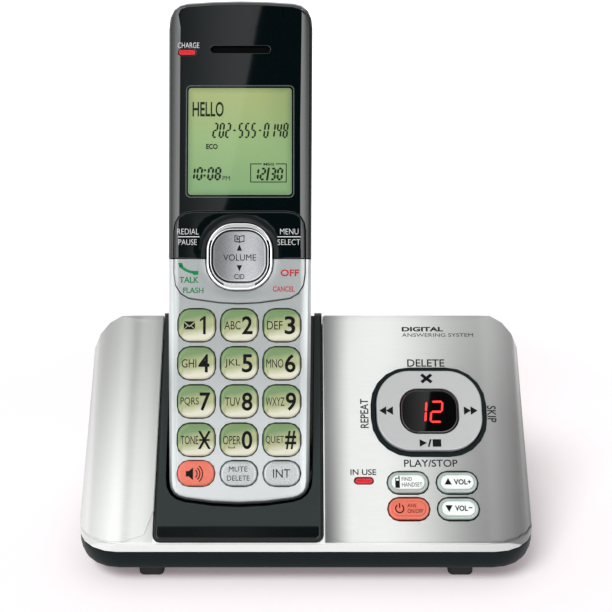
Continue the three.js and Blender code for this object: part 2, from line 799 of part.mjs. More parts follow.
// The dark tray that closes the base from below, rounded in towards its underside
function bottomShell() {
  const top = seamHeight - fitGap;
  const steps = 3;
  const rings = [];
  for (let step = 0; step <= steps; step += 1) {
    const angle = (step / steps) * (Math.PI / 2);
    const inset = bottomEdgeTaper * (1 - Math.sin(angle));
    const height = undersideHeight + bottomEdgeRise * (1 - Math.cos(angle));
    rings.push({ shape: planOutline(inset), height });
  }
  rings.push({ shape: planOutline(0), height: top });
  const outer = solidOf(stack(rings));
  const floorTop = undersideHeight + shellWall;
  const hollow = solidOf(
    stack(
      [
        { shape: planOutline(bottomEdgeTaper + shellWall), height: floorTop },
        { shape: planOutline(shellWall), height: undersideHeight + bottomEdgeRise },
        { shape: planOutline(shellWall), height: top + overrun },
      ],
    ),
  );
  const tongueInset = panelStep + shellWall + fitGap;
  const tongueFoot = undersideHeight + bottomEdgeRise;
  const tongue = solidOf(prism(planOutline(shellWall / 2), tongueFoot, top))
    .add(solidOf(prism(planOutline(tongueInset), tongueFoot, seamHeight + tongueHeight)))
    .subtract(solidOf(prism(planOutline(tongueInset + tongueWall), 0, overrun)));
  let shell = union([outer.subtract(hollow), tongue]);
  bossPlaces.forEach(([x, y]) => {
    shell = shell
      .add(solidOf(post(bossRadius + fitGap, undersideHeight, top, x, y)))
      .subtract(solidOf(post(bossBoreRadius, 0, overrun, x, y, 6)))
      .subtract(solidOf(post(screwHeadRadius, 0, undersideHeight + screwHeadDepth, x, y)));
  });
  const postX = jackBoardWidth / 2 - bossRadius;
  [jackBoardCentreX - postX, jackBoardCentreX + postX].forEach((x) => {
    const support = post(bossRadius, undersideHeight, jackBoardFoot - fitGap, x, jackBoardMiddleY);
    shell = shell.add(solidOf(support));
  });
  for (let slot = 0; slot < speakerSlotCount; slot += 1) {
    const across = (slot - (speakerSlotCount - 1) / 2) * speakerSlotPitch;
    const chord = 2 * Math.sqrt(speakerConeRadius ** 2 - across ** 2);
    const radius = (speakerSlotWidth / 2) * capsuleShare;
    const opening = roundedRectangle(speakerSlotWidth, chord, radius, speakerX + across, speakerY, 2);
    shell = shell.subtract(solidOf(prism(opening, 0, floorTop + fitGap)));
  }
  const jackRoom = block(
    lineJackX - lineJackWidth / 2 - shellWall,
    baseBack - jackDepthFromBack,
    top,
    powerJackX + powerJackSize / 2 + shellWall,
    baseBack,
    seamHeight + overrun,
  );
  return shell.subtract(solidOf(jackRoom));
}

function foot(x, y) {
  const outline = (inset) =>
    roundedRectangle(footWidth - 2 * inset, footDepth - 2 * inset, footCornerRadius, x, y, 2);
  return solidOf(
    stack(
      [
        { shape: outline(footTaper), height: 0 },
        { shape: outline(footTaper / 3), height: footTaper },
        { shape: outline(0), height: undersideHeight },
      ],
    ),
  );
}

// The cradle tray: a rolled sheet that follows the face over the ridge, with the pocket hung in it
function cradleTray() {
  const sheet = solidOf(
    prism(trayOutline(0), -trayDepth - trayRoll, trayRise, { roll: trayRoll, steps: 3 }),
    faceFrame,
  )
    .intersect(housing(-trayRise, 0))
    .subtract(housing(trayWall, -overrun));
  const pocket = handsetSpace(pocketSideGap + pocketWall, fitGap + pocketWall, pocketBackGap + pocketWall)
    .intersect(housing(-trayRise, 0));
  let tray = sheet.add(pocket).subtract(handsetSpace(pocketSideGap, fitGap, pocketBackGap));
  contactPlaces.forEach((x) => {
    const opening = block(
      x - contactWidth / 2 - fitGap,
      -overrun,
      -padCentreDepth - contactDepth / 2 - fitGap,
      x + contactWidth / 2 + fitGap,
      overrun,
      -padCentreDepth + contactDepth / 2 + fitGap,
    );
    tray = tray.subtract(solidOf(opening, handsetFrame));
  });
  return tray;
}

// The space of the handset and all that lies in front of it, grown at the sides, the foot and the back
function handsetSpace(side, low, back) {
  const outline = handsetOutline(side, low, overrun);
  const line = backLine(-back, low, overrun);
  const profile = polygon([
    [line.at(-1).x, handsetLength],
    [line[0].x, handsetLength],
    ...line.map(({ x, y }) => [x, y]),
  ]);
  return solidOf(
    prism(outline, -handsetThickness - overrun, handsetLength, { corner: 4 }),
    handsetFrame,
  ).intersect(solidOf(prism(profile, -baseWidth, baseWidth), alongHandset));
}

// The message ring: bezel, rubber mat, ring key, window and display, all stacked on the face
function messageBezel() {
  const flangeTop = baseWallBottom - fitGap;
  const rings = [
    { shape: ringOutline(bezelFlange), height: flangeTop - bezelFlangeThickness },
    { shape: ringOutline(bezelFlange), height: flangeTop },
    { shape: ringOutline(0), height: flangeTop },
    { shape: ringOutline(0), height: bezelRise },
  ];
  const inner = prism(ringOutline(-bezelBand), -overrun, overrun);
  return solidOf(stack(rings)).subtract(solidOf(inner));
}
function messageRingKey() {
  const outline = (grow) => ringOutline(grow - bezelBand - ringKeyGap);
  const rings = [
    { shape: outline(0), height: -ringKeyBottomDepth },
    { shape: outline(0), height: ringKeyRise - ringKeyRoll },
    { shape: outline(-ringKeyRoll * rollShare), height: ringKeyRise - ringKeyRoll * rollShare },
    { shape: outline(-ringKeyRoll), height: ringKeyRise },
  ];
  const opening = prism(windowOutline(windowGap), -overrun, overrun);
  return solidOf(stack(rings)).subtract(solidOf(opening));
}
function messageRingMat() {
  const top = -ringKeyBottomDepth - ringMatKeyGap;
  const outer = prism(ringOutline(-ringMatInset, 3), ringMatBoardGap - mainBoardDepth, top);
  const inner = prism(ringOutline(-ringMatInset - ringMatBand, 3), -overrun, overrun);
  return solidOf(outer).subtract(solidOf(inner));
}
function displayLens() {
  const rings = [
    { shape: windowOutline(0), height: windowRise - lensThickness },
    { shape: windowOutline(0), height: windowRise - lensRoll },
    { shape: windowOutline(-lensRoll / 2), height: windowRise - lensRoll / 3 },
    { shape: windowOutline(-lensRoll), height: windowRise },
  ];
  return solidOf(stack(rings));
}
function messageDisplay() {
  const halfWidth = windowWidth / 2 - displayBorder;
  const halfHeight = windowHeight / 2 - displayBorder;
  const top = windowRise - lensThickness - fitGap;
  return solidOf(
    block(
      ringCentreX - halfWidth,
      ringCentreDistance - halfHeight,
      fitGap - mainBoardDepth,
      ringCentreX + halfWidth,
      ringCentreDistance + halfHeight,
      top,
    ),
  );
}

// The four keys under the ring, each with a rim, a raised cap and a flange that the wall holds back
function baseKey(x, distance) {
  const outline = (grow) => capsule(baseKeyWidth, baseKeyHeight, grow, x, distance);
  const rings = [
    { shape: outline(baseKeyFlange), height: baseWallBottom - baseKeyFlangeThickness },
    { shape: outline(baseKeyFlange), height: baseWallBottom },
    { shape: outline(0), height: baseWallBottom },
    { shape: outline(0), height: baseKeyRimRise - baseKeyRoll },
    { shape: outline(-baseKeyRoll), height: baseKeyRimRise },
    { shape: outline(-baseKeyRimBand), height: baseKeyRimRise },
    { shape: outline(-baseKeyRimBand), height: baseKeyCapRise - baseKeyRoll },
    { shape: outline(-baseKeyRimBand - baseKeyRoll), height: baseKeyCapRise },
  ];
  return solidOf(stack(rings));
}
function inUseLight() {
  const outline = (grow) => capsule(inUseWidth, inUseHeight, grow, inUseX, inUseDistance, 2);
  const rings = [
    { shape: outline(0), height: fitGap - mainBoardDepth },
    { shape: outline(0), height: 0 },
    { shape: outline(-inUseRise), height: inUseRise },
  ];
  return solidOf(stack(rings));
}
function baseKeyMat() {
  const left = leftKeyX - baseKeyWidth / 2 - matBorder;
  const right = rightKeyX + baseKeyWidth / 2;
  const low = lowerKeyDistance - baseKeyHeight / 2;
  const high = upperKeyDistance + baseKeyHeight / 2;
  const top = fitGap - mainBoardDepth + matThickness;
  const sheet = block(left, low, fitGap - mainBoardDepth, right, high, top);
  const padTop = baseWallBottom - baseKeyFlangeThickness - baseKeyTravel - fitGap;
  const pads = baseKeys.map(({ x, distance }) => {
    const outline = capsule(baseKeyWidth, baseKeyHeight, -matBorder / 2, x, distance, 1);
    return solidOf(prism(outline, top - fitGap, padTop));
  });
  return union([solidOf(sheet), ...pads]);
}
function mainBoard() {
  const sheet = block(
    mainBoardLeftX,
    mainBoardFootDistance,
    -mainBoardDepth - boardThickness,
    mainBoardRightX,
    mainBoardHeadDistance,
    -mainBoardDepth,
  );
  const chip = block(
    ringCentreX - chipSide / 2,
    ringCentreDistance - chipSide / 2,
    -mainBoardDepth - boardThickness - chipThickness,
    ringCentreX + chipSide / 2,
    ringCentreDistance + chipSide / 2,
    -mainBoardDepth - fitGap,
  );
  return union([solidOf(sheet), solidOf(chip)]);
}

// Jacks, their board, the loudspeaker and the charging contacts
function jackBoard() {
  const half = jackBoardWidth / 2;
  return solidOf(
    block(
      jackBoardCentreX - half,
      jackBoardBackY - jackBoardDepth,
      jackBoardFoot,
      jackBoardCentreX + half,
      jackBoardBackY,
      jackBoardFoot + boardThickness,
    ),
  );
}
function lineJack() {
  const middle = jackFoot + lineJackHeight / 2;
  const low = middle - lineSocketHeight / 2;
  const socket = block(
    lineJackX - lineSocketWidth / 2,
    jackBackY - lineSocketDepth,
    low,
    lineJackX + lineSocketWidth / 2,
    jackBackY + overrun,
    middle + lineSocketHeight / 2,
  );
  const latchWay = block(
    lineJackX - latchWayWidth / 2,
    jackBackY - lineSocketDepth,
    low - latchWayDepth,
    lineJackX + latchWayWidth / 2,
    jackBackY + overrun,
    middle,
  );
  return jackBlock(lineJackX, lineJackWidth, lineJackLength, lineJackHeight, 0, 0)
    .subtract(solidOf(socket))
    .subtract(solidOf(latchWay));
}
function powerJack() {
  const along = (radius, from, to) => {
    const geometry = new THREE.CylinderGeometry(radius, radius, to - from, 12);
    geometry.translate(powerJackX, (from + to) / 2, jackFoot + powerJackSize / 2);
    return solidOf(geometry);
  };
  const socketEnd = jackBackY - powerSocketDepth;
  return jackBlock(powerJackX, powerJackSize, powerJackLength, powerJackSize, 0, 0)
    .subtract(along(powerSocketRadius, socketEnd, jackBackY + overrun))
    .add(along(powerPinRadius, socketEnd - fitGap, jackBackY - powerPinRadius));
}
function loudspeaker(rim, rimHeight, cone, basketHeight, magnet, height, sides) {
  const profile = [
    [0, coneDepthShare * basketHeight],
    [cone * coneShare, coneDepthShare * basketHeight],
    [cone, 0],
    [rim, 0],
    [rim, rimHeight],
    [cone, basketHeight],
    [magnet, basketHeight],
    [magnet, height],
    [0, height],
  ].map(([radius, z]) => new THREE.Vector2(radius, z));
  const geometry = new THREE.LatheGeometry(profile, sides);
  geometry.rotateX(Math.PI / 2);
  return geometry;
}
function baseSpeaker() {
  const geometry = loudspeaker(
    speakerRadius,
    speakerRimHeight,
    speakerConeRadius,
    speakerBasketHeight,
    speakerMagnetRadius,
    speakerHeight,
    12,
  );
  geometry.translate(speakerX, speakerY, undersideHeight + shellWall + fitGap);
  return solidOf(geometry);
}
function chargingContact(x) {
  return solidOf(
    block(
      x - contactWidth / 2,
      contactTop - contactLength,
      -padCentreDepth - contactDepth / 2,
      x + contactWidth / 2,
      contactTop,
      -padCentreDepth + contactDepth / 2,
    ),
  );
}

// Handset: the outlines on its front, all in the handset frame
const halfSplit = fitGap / 2;
const wallBottom = -handsetWall - fitGap;
const matTop = -clusterRecessDepth - shelfThickness - fitGap;
const matBottom = matTop - handsetMatThickness;
const padTop = wallBottom - keyFlangeThickness - keyTravel - fitGap;
const boardTop = matBottom - fitGap;
const boardBottom = boardTop - handsetBoardThickness;
const frontEdge = fitGap / 2 - caseSeamDepth;
const backEdge = -fitGap / 2 - caseSeamDepth;
const compartmentFloor = backEdge - compartmentWall;
const cellsTop = compartmentFloor - fitGap;
function screenOutline(grow) {
  return roundedRectangle(
    screenWidth + 2 * grow,
    screenHeight + 2 * grow,
    screenCornerRadius + Math.max(grow, 0),
    0,
    screenCentreHeight,
  );
}
function clusterOutline(grow) {
  const half = clusterWidth / 2 + grow;
  const foot = clusterFootHeight - grow;
  const head = clusterHeadHeight + grow;
  const headRadius = clusterHeadRadius + grow;
  const footRadius = clusterFootRadius + grow;
  const footEnd = foot + clusterFootBow;
  const shape = new THREE.Shape();
  shape.moveTo(half - footRadius, footEnd);
  shape.quadraticCurveTo(half, footEnd, half, footEnd + footRadius);
  shape.lineTo(half, head - headRadius);
  shape.quadraticCurveTo(half, head, half - headRadius, head);
  shape.lineTo(headRadius - half, head);
  shape.quadraticCurveTo(-half, head, -half, head - headRadius);
  shape.lineTo(-half, footEnd + footRadius);
  shape.quadraticCurveTo(-half, footEnd, footRadius - half, footEnd);
  shape.quadraticCurveTo(0, foot - clusterFootBow, half - footRadius, footEnd);
  return shape;
}
function navOutline(growX, growY = growX) {
  return roundedRectangle(
    navRingWidth + 2 * growX,
    navRingHeight + 2 * growY,
    navRingRadius + Math.min(growX, growY),
    0,
    navCentreHeight,
    5,
  );
}
function navKeyOutline(grow) {
  return navOutline(grow - navRingBandX - navKeyGap, grow - navRingBandY - navKeyGap);
}

// The twelve dial keys and the row of function keys under them
const keyNames = [
  ["key_1", "key_2", "key_3"],
  ["key_4", "key_5", "key_6"],
  ["key_7", "key_8", "key_9"],
  ["key_star", "key_0", "key_pound"],
  ["speaker_key", "mute_delete_key", "intercom_key"],
];
const functionKeyMaterials = [orangeKeyPlastic, greyKeyPlastic, greyKeyPlastic];
const handsetKeys = keyNames.flatMap((names, row) =>
  names.map((name, column) => {
    const isDial = row < keyNames.length - 1;
    const x = (column - 1) * columnPitch;
    const height = isDial
      ? bottomDialRowHeight + (keyNames.length - 2 - row) * rowPitch
      : functionRowHeight;
    const outline = (grow) =>
      roundedRectangle(
        (isDial ? dialKeyWidth : functionKeyWidth) + 2 * grow,
        (isDial ? dialKeyHeight : functionKeyHeight) + 2 * grow,
        (isDial ? dialKeyRadius : functionKeyRadius) + grow,
        x,
        height,
      );
    const halfWidth = (isDial ? dialKeyWidth : functionKeyWidth) / 2 - matPadInset;
    const halfHeight = (isDial ? dialKeyHeight : functionKeyHeight) / 2 - matPadInset;
    const pad = block(
      x - halfWidth,
      height - halfHeight,
      matBottom,
      x + halfWidth,
      height + halfHeight,
      padTop,
    );
    return { name, outline, pad, material: isDial ? limeKeyPlastic : functionKeyMaterials[column] };
  }),
);
function handsetKey(outline) {
  return solidOf(
    stack(
      [
        { shape: outline(keyFlange), height: wallBottom - keyFlangeThickness },
        { shape: outline(keyFlange), height: wallBottom },
        { shape: outline(0), height: wallBottom },
        { shape: outline(0), height: dialKeyRise - keyRoll },
        { shape: outline(-keyRoll), height: dialKeyRise },
      ],
    ),
  );
}

// The case of the handset: a gloss upper front, a silver keypad front and a back
function handsetCut(outline, from = -overrun, corner = 2) {
  return solidOf(prism(outline, from, overrun, { corner }));
}
function frontCase(lowHeight, highHeight) {
  const reach = handsetThickness + overrun;
  const region = solidOf(block(-reach, lowHeight, frontEdge, reach, highHeight, overrun));
  const shelfBottom = -clusterRecessDepth - shelfThickness;
  const form = handsetForm(0);
  const shelf = solidOf(prism(clusterOutline(compartmentWall), shelfBottom, -frontRollDepth)).intersect(form);
  let front = union([form.subtract(handsetForm(handsetWall)), shelf]);
  front = front.subtract(handsetCut(clusterOutline(fitGap), -clusterRecessDepth, 4));
  const pivotTop = rockerRise - rockerThickness - fitGap;
  const ribs = [clusterHeadHeight - pivotRibLength, clusterFootHeight + fitGap].map((low) =>
    solidOf(
      block(-pivotRibWidth / 2, low, shelfBottom, pivotRibWidth / 2, low + pivotRibLength, pivotTop),
    ),
  );
  front = union([front, ...ribs]).subtract(handsetCut(navKeyOutline(navKeyGap), -overrun, 3));
  return front.intersect(region);
}
function upperFront() {
  return frontCase(splitHeight + halfSplit, handsetLength)
    .subtract(handsetCut(screenOutline(fitGap), -screenLensThickness - fitGap))
    .subtract(handsetCut(screenOutline(-screenLedge)))
    .subtract(handsetCut(capsule(earpieceWidth, earpieceHeight, 0, 0, earpieceCentreHeight)))
    .subtract(
      handsetCut(
        capsule(chargeLightWidth, chargeLightHeight, fitGap, chargeLightX, chargeLightCentreHeight),
      ),
    );
}
function keypadFront() {
  return handsetKeys.reduce(
    (front, { outline }) => front.subtract(handsetCut(outline(keyGap), -clusterRecessDepth)),
    frontCase(-handsetLength, splitHeight - halfSplit),
  );
}

// The space behind the battery cover, and the cover itself, both seen from the back
const coverCentreHeight = (coverHeadHeight + coverFootHeight) / 2;
function coverOutline(grow) {
  return roundedRectangle(
    coverWidth + 2 * grow,
    coverHeight + 2 * grow,
    coverCornerRadius + grow,
    0,
    coverCentreHeight,
  );
}
function batteryFrame(grow, top) {
  const half = cellPitch / 2 + cellRadius + batteryClearance + grow;
  const low = batteryFootHeight - batteryClearance - grow;
  const high = batteryFootHeight + cellLength + batteryClearance + grow;
  return solidOf(block(-half, low, compartmentFloor - batteryFrameHeight, half, high, top));
}
function backCase() {
  const reach = handsetThickness + overrun;
  const form = handsetForm(0);
  const region = solidOf(block(-reach, -reach, -reach, reach, handsetLength + reach, backEdge));
  const ledgeTop = coverThickness + fitGap + coverLedgeThickness - handsetThickness;
  const tub = solidOf(prism(coverOutline(compartmentWall - coverLedge), -reach, backEdge));
  const ledge = solidOf(prism(coverOutline(fitGap + compartmentWall), -reach, ledgeTop));
  const tubSpace = solidOf(prism(coverOutline(-coverLedge), -reach, compartmentFloor));
  const coverSpace = solidOf(prism(coverOutline(fitGap), -reach, ledgeTop - coverLedgeThickness));
  const frame = batteryFrame(compartmentWall, compartmentFloor + fitGap).subtract(
    batteryFrame(0, compartmentFloor + fitGap),
  );
  const collarHeight = ringerTopDepth + ringerCollarOverlap;
  const collar = solidOf(
    post(
      ringerRadius + fitGap + ringerCollarWall,
      -handsetThickness,
      -collarHeight,
      0,
      ringerCentreHeight,
    ),
  ).subtract(solidOf(post(ringerRadius + fitGap, -handsetThickness, 0, 0, ringerCentreHeight)));
  const padSeats = contactPlaces.map((x) => padBlock(x, compartmentWall, padThickness + compartmentWall));
  const inside = union([tub, ledge, collar, ...padSeats]).intersect(form);
  let back = union([form.subtract(handsetForm(handsetWall)), inside]).subtract(tubSpace).subtract(coverSpace);
  back = back.add(frame);
  contactPlaces.forEach((x) => {
    back = back.subtract(padBlock(x, fitGap, padThickness + fitGap));
  });
  for (let slot = 0; slot < ringerSlotCount; slot += 1) {
    const height = ringerCentreHeight + (slot - (ringerSlotCount - 1) / 2) * ringerSlotPitch;
    const opening = capsule(ringerSlotLength, ringerSlotWidth, 0, 0, height);
    back = back.subtract(solidOf(prism(opening, -reach, -collarHeight)));
  }
  return back.intersect(region);
}
function batteryCover() {
  const outer = prism(coverOutline(0), -handsetThickness, coverThickness - handsetThickness);
  const finger = capsule(coverWidth / 3, coverCornerRadius / 2, 0, 0, coverHeadHeight - coverCornerRadius);
  const notchTop = coverThickness / 2 - handsetThickness;
  return solidOf(outer).subtract(solidOf(prism(finger, -handsetThickness - overrun, notchTop)));
}
function batteryPack() {
  const cell = (side) => {
    const geometry = new THREE.CylinderGeometry(cellRadius, cellRadius, cellLength, 16);
    geometry.translate(
      side * (cellPitch / 2),
      batteryFootHeight + cellLength / 2,
      cellsTop - cellRadius,
    );
    return solidOf(geometry);
  };
  const web = block(
    -cellPitch / 2,
    batteryFootHeight,
    cellsTop - cellRadius - cellRadius / 2,
    cellPitch / 2,
    batteryFootHeight + cellLength,
    cellsTop - cellRadius / 2,
  );
  return union([cell(-1), cell(1), solidOf(web)]);
}

// Charging pads in the foot, and the seats and recesses that hold them
function padBlock(x, grow, head) {
  return solidOf(
    block(
      x - padWidth / 2 - grow,
      -handsetFootDrop - overrun,
      -padCentreDepth - padDepth / 2 - grow,
      x + padWidth / 2 + grow,
      padRecess - handsetFootDrop + head,
      -padCentreDepth + padDepth / 2 + grow,
    ),
  );
}
function chargePad(x) {
  const foot = padRecess - handsetFootDrop;
  return solidOf(
    block(
      x - padWidth / 2,
      foot,
      -padCentreDepth - padDepth / 2,
      x + padWidth / 2,
      foot + padThickness,
      -padCentreDepth + padDepth / 2,
    ),
  );
}

// Screen, earpiece, light and sounders of the handset
function screenWindow() {
  return solidOf(prism(screenOutline(0), -screenLensThickness, 0));
}
function handsetDisplay() {
  return solidOf(
    block(
      -lcdWidth / 2,
      screenCentreHeight - lcdHeight / 2,
      wallBottom - moduleThickness,
      lcdWidth / 2,
      screenCentreHeight + lcdHeight / 2,
      wallBottom,
    ),
  );
}
function earpieceReceiver() {
  return solidOf(post(receiverRadius, wallBottom - moduleThickness, wallBottom, 0, earpieceCentreHeight));
}
function chargeLight() {
  const outline = (grow) =>
    capsule(chargeLightWidth, chargeLightHeight, grow, chargeLightX, chargeLightCentreHeight, 2);
  return solidOf(
    stack(
      [
        { shape: outline(0), height: wallBottom - moduleThickness },
        { shape: outline(0), height: 0 },
        { shape: outline(-lightRise), height: lightRise },
      ],
    ),
  );
}
function handsetRinger() {
  const geometry = loudspeaker(
    ringerRadius,
    ringerThickness / 2,
    ringerRadius * coneDepthShare,
    ringerThickness * coneDepthShare,
    ringerRadius * coneShare,
    ringerThickness,
    12,
  );
  geometry.translate(0, ringerCentreHeight, -ringerTopDepth - ringerThickness);
  return solidOf(geometry);
}
function microphone() {
  const top = boardBottom - fitGap;
  return solidOf(post(microphoneRadius, top - microphoneThickness, top, 0, microphoneHeight));
}

// Control cluster: two rockers round a ring, with the four-way key in the middle
function rocker(lowHeight, highHeight) {
  const body = prism(clusterOutline(0), rockerRise - rockerThickness, rockerRise, {
    roll: rockerRoll,
    steps: 2,
    corner: 4,
  });
  const dish = stack(
    [
      { shape: navOutline(rockerGap), height: -overrun },
      { shape: navOutline(rockerGap), height: rockerRise - dishDepth },
      { shape: navOutline(dishReach), height: rockerRise },
      { shape: navOutline(dishReach), height: overrun },
    ],
  );
  const region = block(-clusterWidth, lowHeight, -overrun, clusterWidth, highHeight, overrun);
  return solidOf(body).subtract(solidOf(dish)).intersect(solidOf(region));
}
function navRing() {
  const rings = [
    { shape: navOutline(0), height: fitGap - clusterRecessDepth },
    { shape: navOutline(0), height: navRingRise - navRingRoll },
    { shape: navOutline(-navRingRoll * rollShare), height: navRingRise - navRingRoll * rollShare },
    { shape: navOutline(-navRingRoll), height: navRingRise },
  ];
  const inner = prism(navKeyOutline(navKeyGap), -overrun, overrun);
  return solidOf(stack(rings)).subtract(solidOf(inner));
}
function navKey() {
  const rings = [
    { shape: navKeyOutline(0), height: -navKeyBottomDepth },
    { shape: navKeyOutline(0), height: navKeyRise - navKeyRoll },
    { shape: navKeyOutline(-navKeyRoll * rollShare), height: navKeyRise - navKeyRoll * rollShare },
    { shape: navKeyOutline(-navKeyRoll), height: navKeyRise },
  ];
  return solidOf(stack(rings));
}

// Key mat with a pad under each key, and the board with its radio shield
function handsetKeyMat() {
  const sheet = block(
    -handsetMatHalfWidth,
    handsetMatFootHeight,
    matBottom,
    handsetMatHalfWidth,
    handsetMatHeadHeight,
    matTop,
  );
  return union([solidOf(sheet), ...handsetKeys.map(({ pad }) => solidOf(pad))]);
}
function handsetBoard() {
  const sheet = block(
    -handsetBoardHalfWidth,
    handsetBoardFootHeight,
    boardBottom,
    handsetBoardHalfWidth,
    handsetBoardHeadHeight,
    boardTop,
  );
  const shield = block(
    -shieldWidth / 2,
    shieldCentreHeight - shieldLength / 2,
    boardBottom - shieldThickness,
    shieldWidth / 2,
    shieldCentreHeight + shieldLength / 2,
    boardTop - fitGap,
  );
  return union([solidOf(sheet), solidOf(shield)]);
}

const base = new THREE.Group();
base.add(named("base_top_shell", topShell(), silverPlastic));
base.add(named("base_bottom_shell", bottomShell(), darkPlastic));
base.add(named("cradle_tray", cradleTray(), slatePlastic));
const footX = baseWidth / 2 - footInsetX;
const footY = baseDepth / 2 - footSetback - footDepth / 2;
base.add(named("foot_front_left", foot(-footX, -footY), blackRubber));
base.add(named("foot_front_right", foot(footX, -footY), blackRubber));
base.add(named("foot_back_left", foot(-footX, footY), blackRubber));
base.add(named("foot_back_right", foot(footX, footY), blackRubber));

const face = new THREE.Group();
face.applyMatrix4(faceFrame);
face.add(named("message_ring_bezel", messageBezel(), glossBlackPlastic));
face.add(named("message_ring_key", messageRingKey(), silverPlastic));
face.add(named("message_ring_mat", messageRingMat(), blackRubber));
face.add(named("message_window", displayLens(), glossBlackPlastic));
face.add(named("message_display", messageDisplay(), redLightPlastic));
baseKeys.forEach(({ name, x, distance, material }) => face.add(named(name, baseKey(x, distance), material)));
face.add(named("in_use_light", inUseLight(), redLightPlastic));
face.add(named("base_key_mat", baseKeyMat(), greyRubber));
face.add(named("base_circuit_board", mainBoard(), boardLaminate));
base.add(face);
base.add(named("jack_board", jackBoard(), boardLaminate));
base.add(named("line_jack", lineJack(), jackPlastic));
base.add(named("power_jack", powerJack(), jackPlastic));
base.add(named("base_speaker", baseSpeaker(), steelMetal));

const pocketPieces = new THREE.Group();
pocketPieces.applyMatrix4(handsetFrame);
["charging_contact_left", "charging_contact_right"].forEach((name, side) => {
  pocketPieces.add(named(name, chargingContact(contactPlaces[side]), contactMetal));
});
base.add(pocketPieces);

const handset = new THREE.Group();
handset.applyMatrix4(handsetFrame);
handset.add(named("handset_upper_front", upperFront(), glossBlackPlastic));
handset.add(named("handset_keypad_front", keypadFront(), brightSilverPlastic));
handset.add(named("handset_back_case", backCase(), darkPlastic));
handset.add(named("battery_cover", batteryCover(), darkPlastic));
handset.add(named("battery_pack", batteryPack(), batterySleeve));
handset.add(named("screen_window", screenWindow(), screenPlastic));
handset.add(named("handset_display", handsetDisplay(), screenPlastic));
handset.add(named("earpiece_receiver", earpieceReceiver(), darkPlastic));
handset.add(named("charge_light", chargeLight(), redLightPlastic));
const rockerEdge = rockerGap / 2;
handset.add(named("redial_menu_rocker", rocker(splitHeight + rockerEdge, handsetLength), glossBlackPlastic));
handset.add(named("talk_off_rocker", rocker(0, splitHeight - rockerEdge), brightSilverPlastic));
handset.add(named("nav_ring", navRing(), chromeMetal));
handset.add(named("nav_key", navKey(), silverPlastic));
handsetKeys.forEach(({ name, outline, material }) => handset.add(named(name, handsetKey(outline), material)));
handset.add(named("handset_key_mat", handsetKeyMat(), greyRubber));
handset.add(named("handset_circuit_board", handsetBoard(), boardLaminate));
handset.add(named("microphone", microphone(), steelMetal));
handset.add(named("handset_ringer", handsetRinger(), steelMetal));
["charge_pad_left", "charge_pad_right"].forEach((name, side) => {
  handset.add(named(name, chargePad(contactPlaces[side]), contactMetal));
});

const part = new THREE.Group();
part.add(base, handset);
export default part;
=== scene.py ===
import json
import math

import bmesh
import bpy
from mathutils import Matrix, Vector

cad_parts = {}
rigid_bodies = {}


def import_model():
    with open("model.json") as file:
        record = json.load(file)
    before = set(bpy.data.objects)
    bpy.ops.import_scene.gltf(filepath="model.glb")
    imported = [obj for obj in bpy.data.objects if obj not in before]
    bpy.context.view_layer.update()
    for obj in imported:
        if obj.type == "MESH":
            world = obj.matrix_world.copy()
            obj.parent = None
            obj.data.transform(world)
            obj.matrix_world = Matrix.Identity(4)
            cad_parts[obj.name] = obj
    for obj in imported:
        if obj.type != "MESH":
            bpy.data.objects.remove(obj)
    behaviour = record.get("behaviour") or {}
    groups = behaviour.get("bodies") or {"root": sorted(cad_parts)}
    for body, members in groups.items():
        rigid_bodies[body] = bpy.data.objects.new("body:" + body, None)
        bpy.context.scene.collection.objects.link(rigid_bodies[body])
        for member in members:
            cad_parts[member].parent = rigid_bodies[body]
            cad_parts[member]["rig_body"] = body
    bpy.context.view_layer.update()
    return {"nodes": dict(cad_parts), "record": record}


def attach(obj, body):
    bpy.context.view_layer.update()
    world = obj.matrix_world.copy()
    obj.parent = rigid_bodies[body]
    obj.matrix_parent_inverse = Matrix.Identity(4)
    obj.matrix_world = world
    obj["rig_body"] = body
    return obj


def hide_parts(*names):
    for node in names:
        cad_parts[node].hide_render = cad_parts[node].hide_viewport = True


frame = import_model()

bl_info = {
    "name": "Cordless Telephone",
    "version": (1, 0, 0),
    "blender": (4, 5, 0),
    "location": "3D View > Sidebar > Telephone",
    "description": "Builds the looks of a cordless telephone on its digital answering base",
    "category": "Object",
}

MM = 0.001
TINY = 1e-6
BLACK = (0, 0, 0, 1)
WHITE = (1, 1, 1, 1)

# Where the front of the handset folds back beside its middle, and how far its edge drops, in millimetres
FOLD_LINE = 20.5
FOLD_DROP = 0.27

# The rolled sides of the base: start, width and height in millimetres, and how nearly a strip has to match
ROLL_START = 60.2
ROLL_WIDTH = 17
ROLL_HEIGHT = 14
ROLL_MATCH = 0.97

# The face of the base, in millimetres: its length, the cradle's fold, and where the raised panels begin
FACE_LENGTH = 81.6
TRAY_FOLD = 5.9
LEFT_PANEL = -50.9
RIGHT_PANEL = 6.3

# How high these pieces stand in their frame, and how far a print lies above its piece, in millimetres
WINDOW_TOP = 2.0
BASE_KEY_TOP = 1.5
SCREEN_TOP = 0.02
ROCKER_TOP = 0.8
NAV_KEY_TOP = 1.2
CLEAR = 0.005


def leaning(degrees, x, y, z):
    """A turn round the axis that runs across, then a shift by millimetres."""
    return Matrix.Translation((x * MM, y * MM, z * MM)) @ Matrix.Rotation(math.radians(degrees), 4, "X")


# The three frames that pieces are modelled in: the whole object's, the sloping face's and the handset's
BASE = Matrix.Identity(4)
FACE = leaning(47, 0, -49, 15.7)
HANDSET = leaning(65, -22.45, -39.452, 25.939)

# The camera's place, in metres
EYE = Vector((0, -0.3377, 0.2171))

# Which way the slope behind the ridge of the base faces
BEHIND_RIDGE = Vector((0, 0.718, 0.696))


